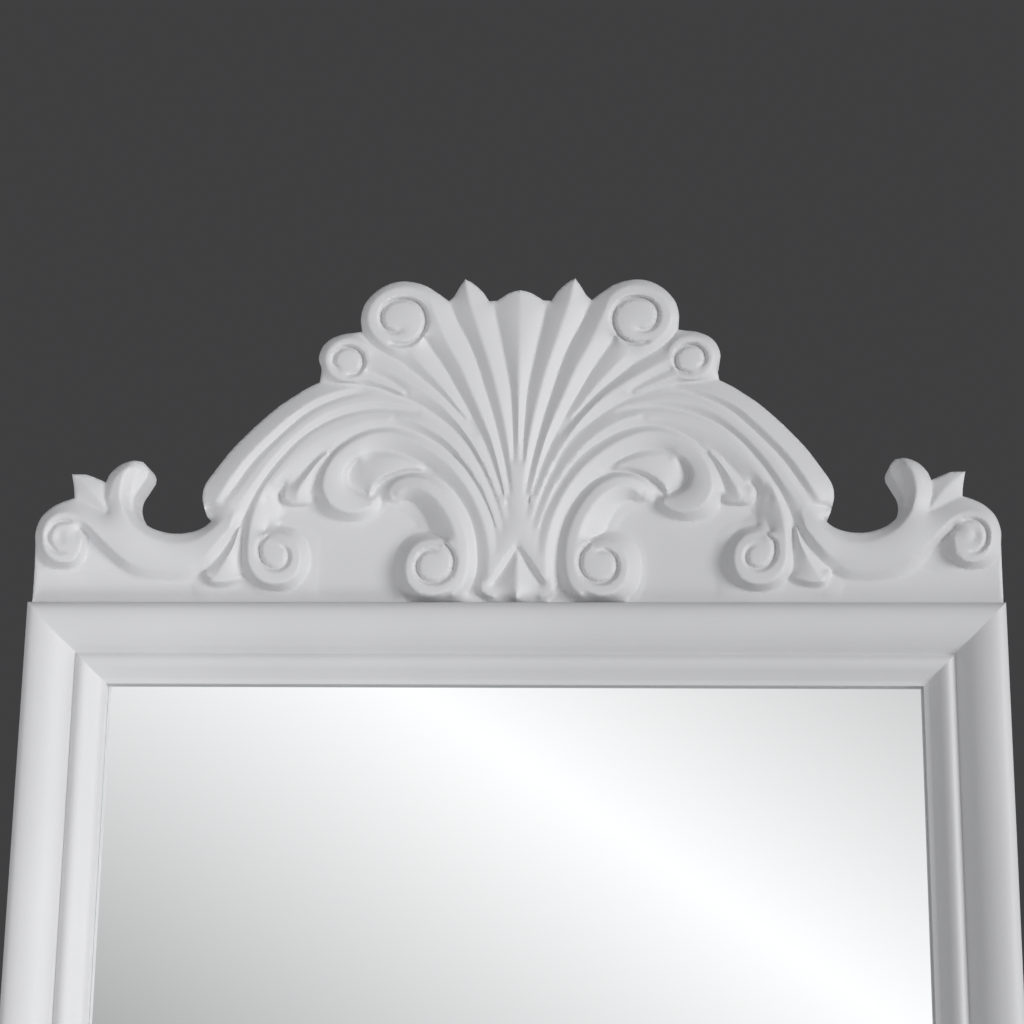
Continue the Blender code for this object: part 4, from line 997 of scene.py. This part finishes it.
def stretcher(white, plastic):
    outline = mirrored(curve_through(STRETCHER_RUNS, step=4))
    faces = (-STRETCHER_HALF_DEPTH, STRETCHER_HALF_DEPTH)
    rail = rounded_slab("arched_stretcher", "Y", outline, *faces, STRETCHER_EDGE, white)
    start, end = STRETCHER_BOLT_ENDS
    holes = [("X", (0, 0, STRETCHER_Z), BOLT_HOLE, out * start, out * end) for _, out in SIDES]
    stand_for(drilled(rail, *holes), "stand", "stretcher")
    profile = (
        (-3, 0), (-3, 4.8), (0, 4.8), (0, 7.5), (0.5, 7.45), (1.1, 7), (1.6, 6.1), (1.9, 4.6),
        (2, 2.5), (2, 0),
    )  # fmt: skip
    for side, out in SIDES:
        shape = [(out * (POST_FACE + distance * MM), radius * MM) for distance, radius in profile]
        cap = turned(f"domed_bolt_cap_{side}", "X", (0, 0, STRETCHER_Z), shape, plastic)
        stand_for(cap, "stand", f"bolt_cap_{side}")


# ---- the pivots


def thread(name, start, end, radius, pitch, finish):
    """A threaded rod around X through the pivot: each ring's ridge lies a little further round."""
    depth, sides, rings_per_turn = 0.00055, 48, 8
    rings = []
    for x in np.linspace(start, end, round(abs(end - start) / pitch * rings_per_turn)):
        ring = []
        for k in range(sides):
            phase = (x / pitch + k / sides) % 1
            reach = radius - depth * abs(2 * phase - 1)
            angle = math.tau * k / sides
            ring.append(Vector(PIVOT) + Vector((x, reach * math.cos(angle), reach * math.sin(angle))))
        rings.append(ring)
    return loft(name, rings, finish, sharp_angle=40)


def washer(name, out, ends, radius, finish):
    """A flat washer with softened edges, around the stud on one side."""
    (low, high), ease = ends, 0.0003
    section = (
        (low + ease, STUD_HOLE), (high - ease, STUD_HOLE), (high, STUD_HOLE + ease), (high, radius - ease),
        (high - ease, radius), (low + ease, radius), (low, radius - ease), (low, STUD_HOLE + ease),
    )  # fmt: skip
    return turned(name, "X", PIVOT, [(out * x, r) for x, r in section], finish, closed=True)


def pivots(white, steel, nylon):
    profile = curve_through(KNOB_RUNS, step=0.7)
    for side, out in SIDES:
        spacer = washer(f"nylon_spacer_{side}", out, SPACER_ENDS, SPACER_RADIUS, nylon)
        clamp = washer(f"clamping_washer_{side}", out, CLAMP_ENDS, CLAMP_RADIUS, steel)
        shape = [(out * (KNOB_START + distance * MM), radius * MM) for distance, radius in profile]
        knob = turned(f"turned_knob_{side}", "X", PIVOT, shape, white)
        start, end = (out * x for x in STUD_ENDS)
        stud = thread(f"threaded_stud_{side}", start, end, STUD_RADIUS, THREAD_PITCH, steel)
        stand_for(spacer, "mirror", f"spacer_washer_{side}")
        stand_for(clamp, f"clamp_{side}", f"clamp_washer_{side}")
        stand_for(knob, f"knob_{side}", f"knob_{side}")
        stand_for(stud, f"knob_{side}", f"pivot_stud_{side}")


# ---- camera, light and floor


# The studio: soft daylight, and a slanting band of glow in front that only the glass shows
GLOW_MIDDLE = (-0.007, -0.988, 0.111)
GLOW_ACROSS = (0.560, 0.058, 0.826)  # across the band
GLOW, GLOW_FALL, GLOW_WIDTH = 1.07, 2.82, 0.35  # at the band's middle, and how it fades across
GLOW_EDGE = (0.80, 0.93)  # where it starts and is full, round its middle
AROUND_LIGHT, ABOVE_LIGHT, BELOW_LIGHT = 0.325, 0.14, 0.60
LOWEST, HIGHEST = -0.9, 0.7  # from here on, the light from below and above is full
BACKDROP = (0.05, 0.05, 0.052, 1)
WINDOW_SIDE, WINDOW_STRENGTH, WINDOW_ANGLE = (0.78, -0.62, 0.03), 1.62, 25
FILL_PLACE, FILL_TARGET = (-0.55, -1.25, 0.5), (-0.36, 0, 1.42)
FILL_SIZE, FILL_POWER, FILL_SPREAD = 0.5, 0.35, 40
FLOOR_RADIUS, FLOOR_CORNERS = 6, 96
FLOOR_PAINTED_GLOW = 0.2  # painted light: the floor glows by this much, standing in for daylight thrown back up by it


def camera():
    data = bpy.data.cameras.new("camera")
    data.lens = CAMERA_LENS
    obj = add_object("camera", data)
    yaw = Matrix.Rotation(math.radians(CAMERA_YAW), 4, "Z")
    pitch = Matrix.Rotation(math.radians(CAMERA_PITCH), 4, "X")
    roll = Matrix.Rotation(math.radians(CAMERA_ROLL), 4, "Y")
    facing = Matrix.Rotation(math.radians(90), 4, "X")
    obj.matrix_world = Matrix.Translation(CAMERA_PLACE) @ yaw @ pitch @ roll @ facing
    bpy.context.scene.camera = obj


def lights():
    """Daylight from a window at the right, and a faint lift for the left corner of the crest."""
    window = bpy.data.lights.new("window", "SUN")
    window.energy, window.angle = WINDOW_STRENGTH, math.radians(WINDOW_ANGLE)
    add_object("window", window).rotation_euler = Vector(WINDOW_SIDE).to_track_quat("Z", "Y").to_euler()
    fill = bpy.data.lights.new("fill", "AREA")
    fill.size, fill.energy, fill.spread = FILL_SIZE, FILL_POWER, math.radians(FILL_SPREAD)
    lamp = add_object("fill", fill)
    lamp.location = FILL_PLACE
    lamp.rotation_euler = (Vector(FILL_TARGET) - Vector(FILL_PLACE)).to_track_quat("-Z", "Y").to_euler()
    lamp.visible_camera = lamp.visible_glossy = False


def studio_world():
    """Daylight that is weakest from above, and the band of glow. The camera sees a plain dark grey."""
    world = bpy.data.worlds.new("studio")
    n = Nodes(world, "Generated")
    upwards = n.towards((0, 0, 1))
    lower = n.spread(upwards, BELOW_LIGHT, AROUND_LIGHT, LOWEST, 0.0)
    upper = n.spread(upwards, 0.0, ABOVE_LIGHT - AROUND_LIGHT, 0.0, HIGHEST)
    from_band = n.worked_out("ABSOLUTE", n.towards(GLOW_ACROSS))
    band = n.spread(from_band, GLOW, GLOW - GLOW_WIDTH * GLOW_FALL, 0.0, GLOW_WIDTH)
    in_front = n.spread(n.towards(GLOW_MIDDLE), 0.0, 1.0, *GLOW_EDGE, "SMOOTHSTEP")
    shown = n.worked_out("MULTIPLY", band, in_front)
    strength = n.worked_out("MAXIMUM", shown, n.worked_out("ADD", lower, upper))
    glow = n.tree.nodes["Background"]
    glow.inputs["Color"].default_value = (0.99, 0.995, 1.0, 1)
    n.join(strength, glow.inputs["Strength"])
    backdrop = n.add("ShaderNodeBackground", [("Color", BACKDROP)])
    either = n.add("ShaderNodeMixShader")
    n.join(n.add("ShaderNodeLightPath").outputs["Is Camera Ray"], either.inputs["Fac"])
    n.join(glow.outputs[0], either.inputs[1])
    n.join(backdrop.outputs[0], either.inputs[2])
    n.join(either.outputs[0], n.tree.nodes["World Output"].inputs["Surface"])
    bpy.context.scene.world = world


def stage():
    lights()
    studio_world()
    turns = [math.tau * k / FLOOR_CORNERS for k in range(FLOOR_CORNERS)]
    rim = [(FLOOR_RADIUS * math.cos(turn), FLOOR_RADIUS * math.sin(turn), 0) for turn in turns]
    floor = mesh_object("floor", rim, [range(FLOOR_CORNERS)], floor_finish())
    bpy.context.scene.view_settings.view_transform = "Standard"


def main():
    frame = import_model()
    camera()
    white = paint()
    steel = metal("zinc_plated_steel", (0.42, 0.43, 0.45), (0.60, 0.61, 0.63), 0.34, (1, 1, 6))
    brass = metal("brass", (0.58, 0.40, 0.16), (0.72, 0.53, 0.24), 0.32)
    rubber = moulded("dark_rubber", (0.012, 0.012, 0.013), (0.03, 0.03, 0.032), 0.62)
    nylon = moulded("natural_nylon", (0.60, 0.58, 0.52), (0.70, 0.68, 0.62), 0.42)
    plastic = moulded("white_plastic", (0.62, 0.62, 0.62), (0.70, 0.70, 0.70), 0.36)
    finishes = {"mirror_glass": silver(), "backing_board": fibreboard()}
    finishes["pivot_insert_left"] = finishes["pivot_insert_right"] = brass
    for name, obj in frame["nodes"].items():
        obj.data.materials.clear()
        obj.data.materials.append(finishes.get(name, steel))
    crest(white)
    frame_bars(white)
    fixings(steel)
    posts(white)
    finials(white)
    feet(white)
    glides(rubber)
    stretcher(white, plastic)
    pivots(white, steel, nylon)
    stage()


main()
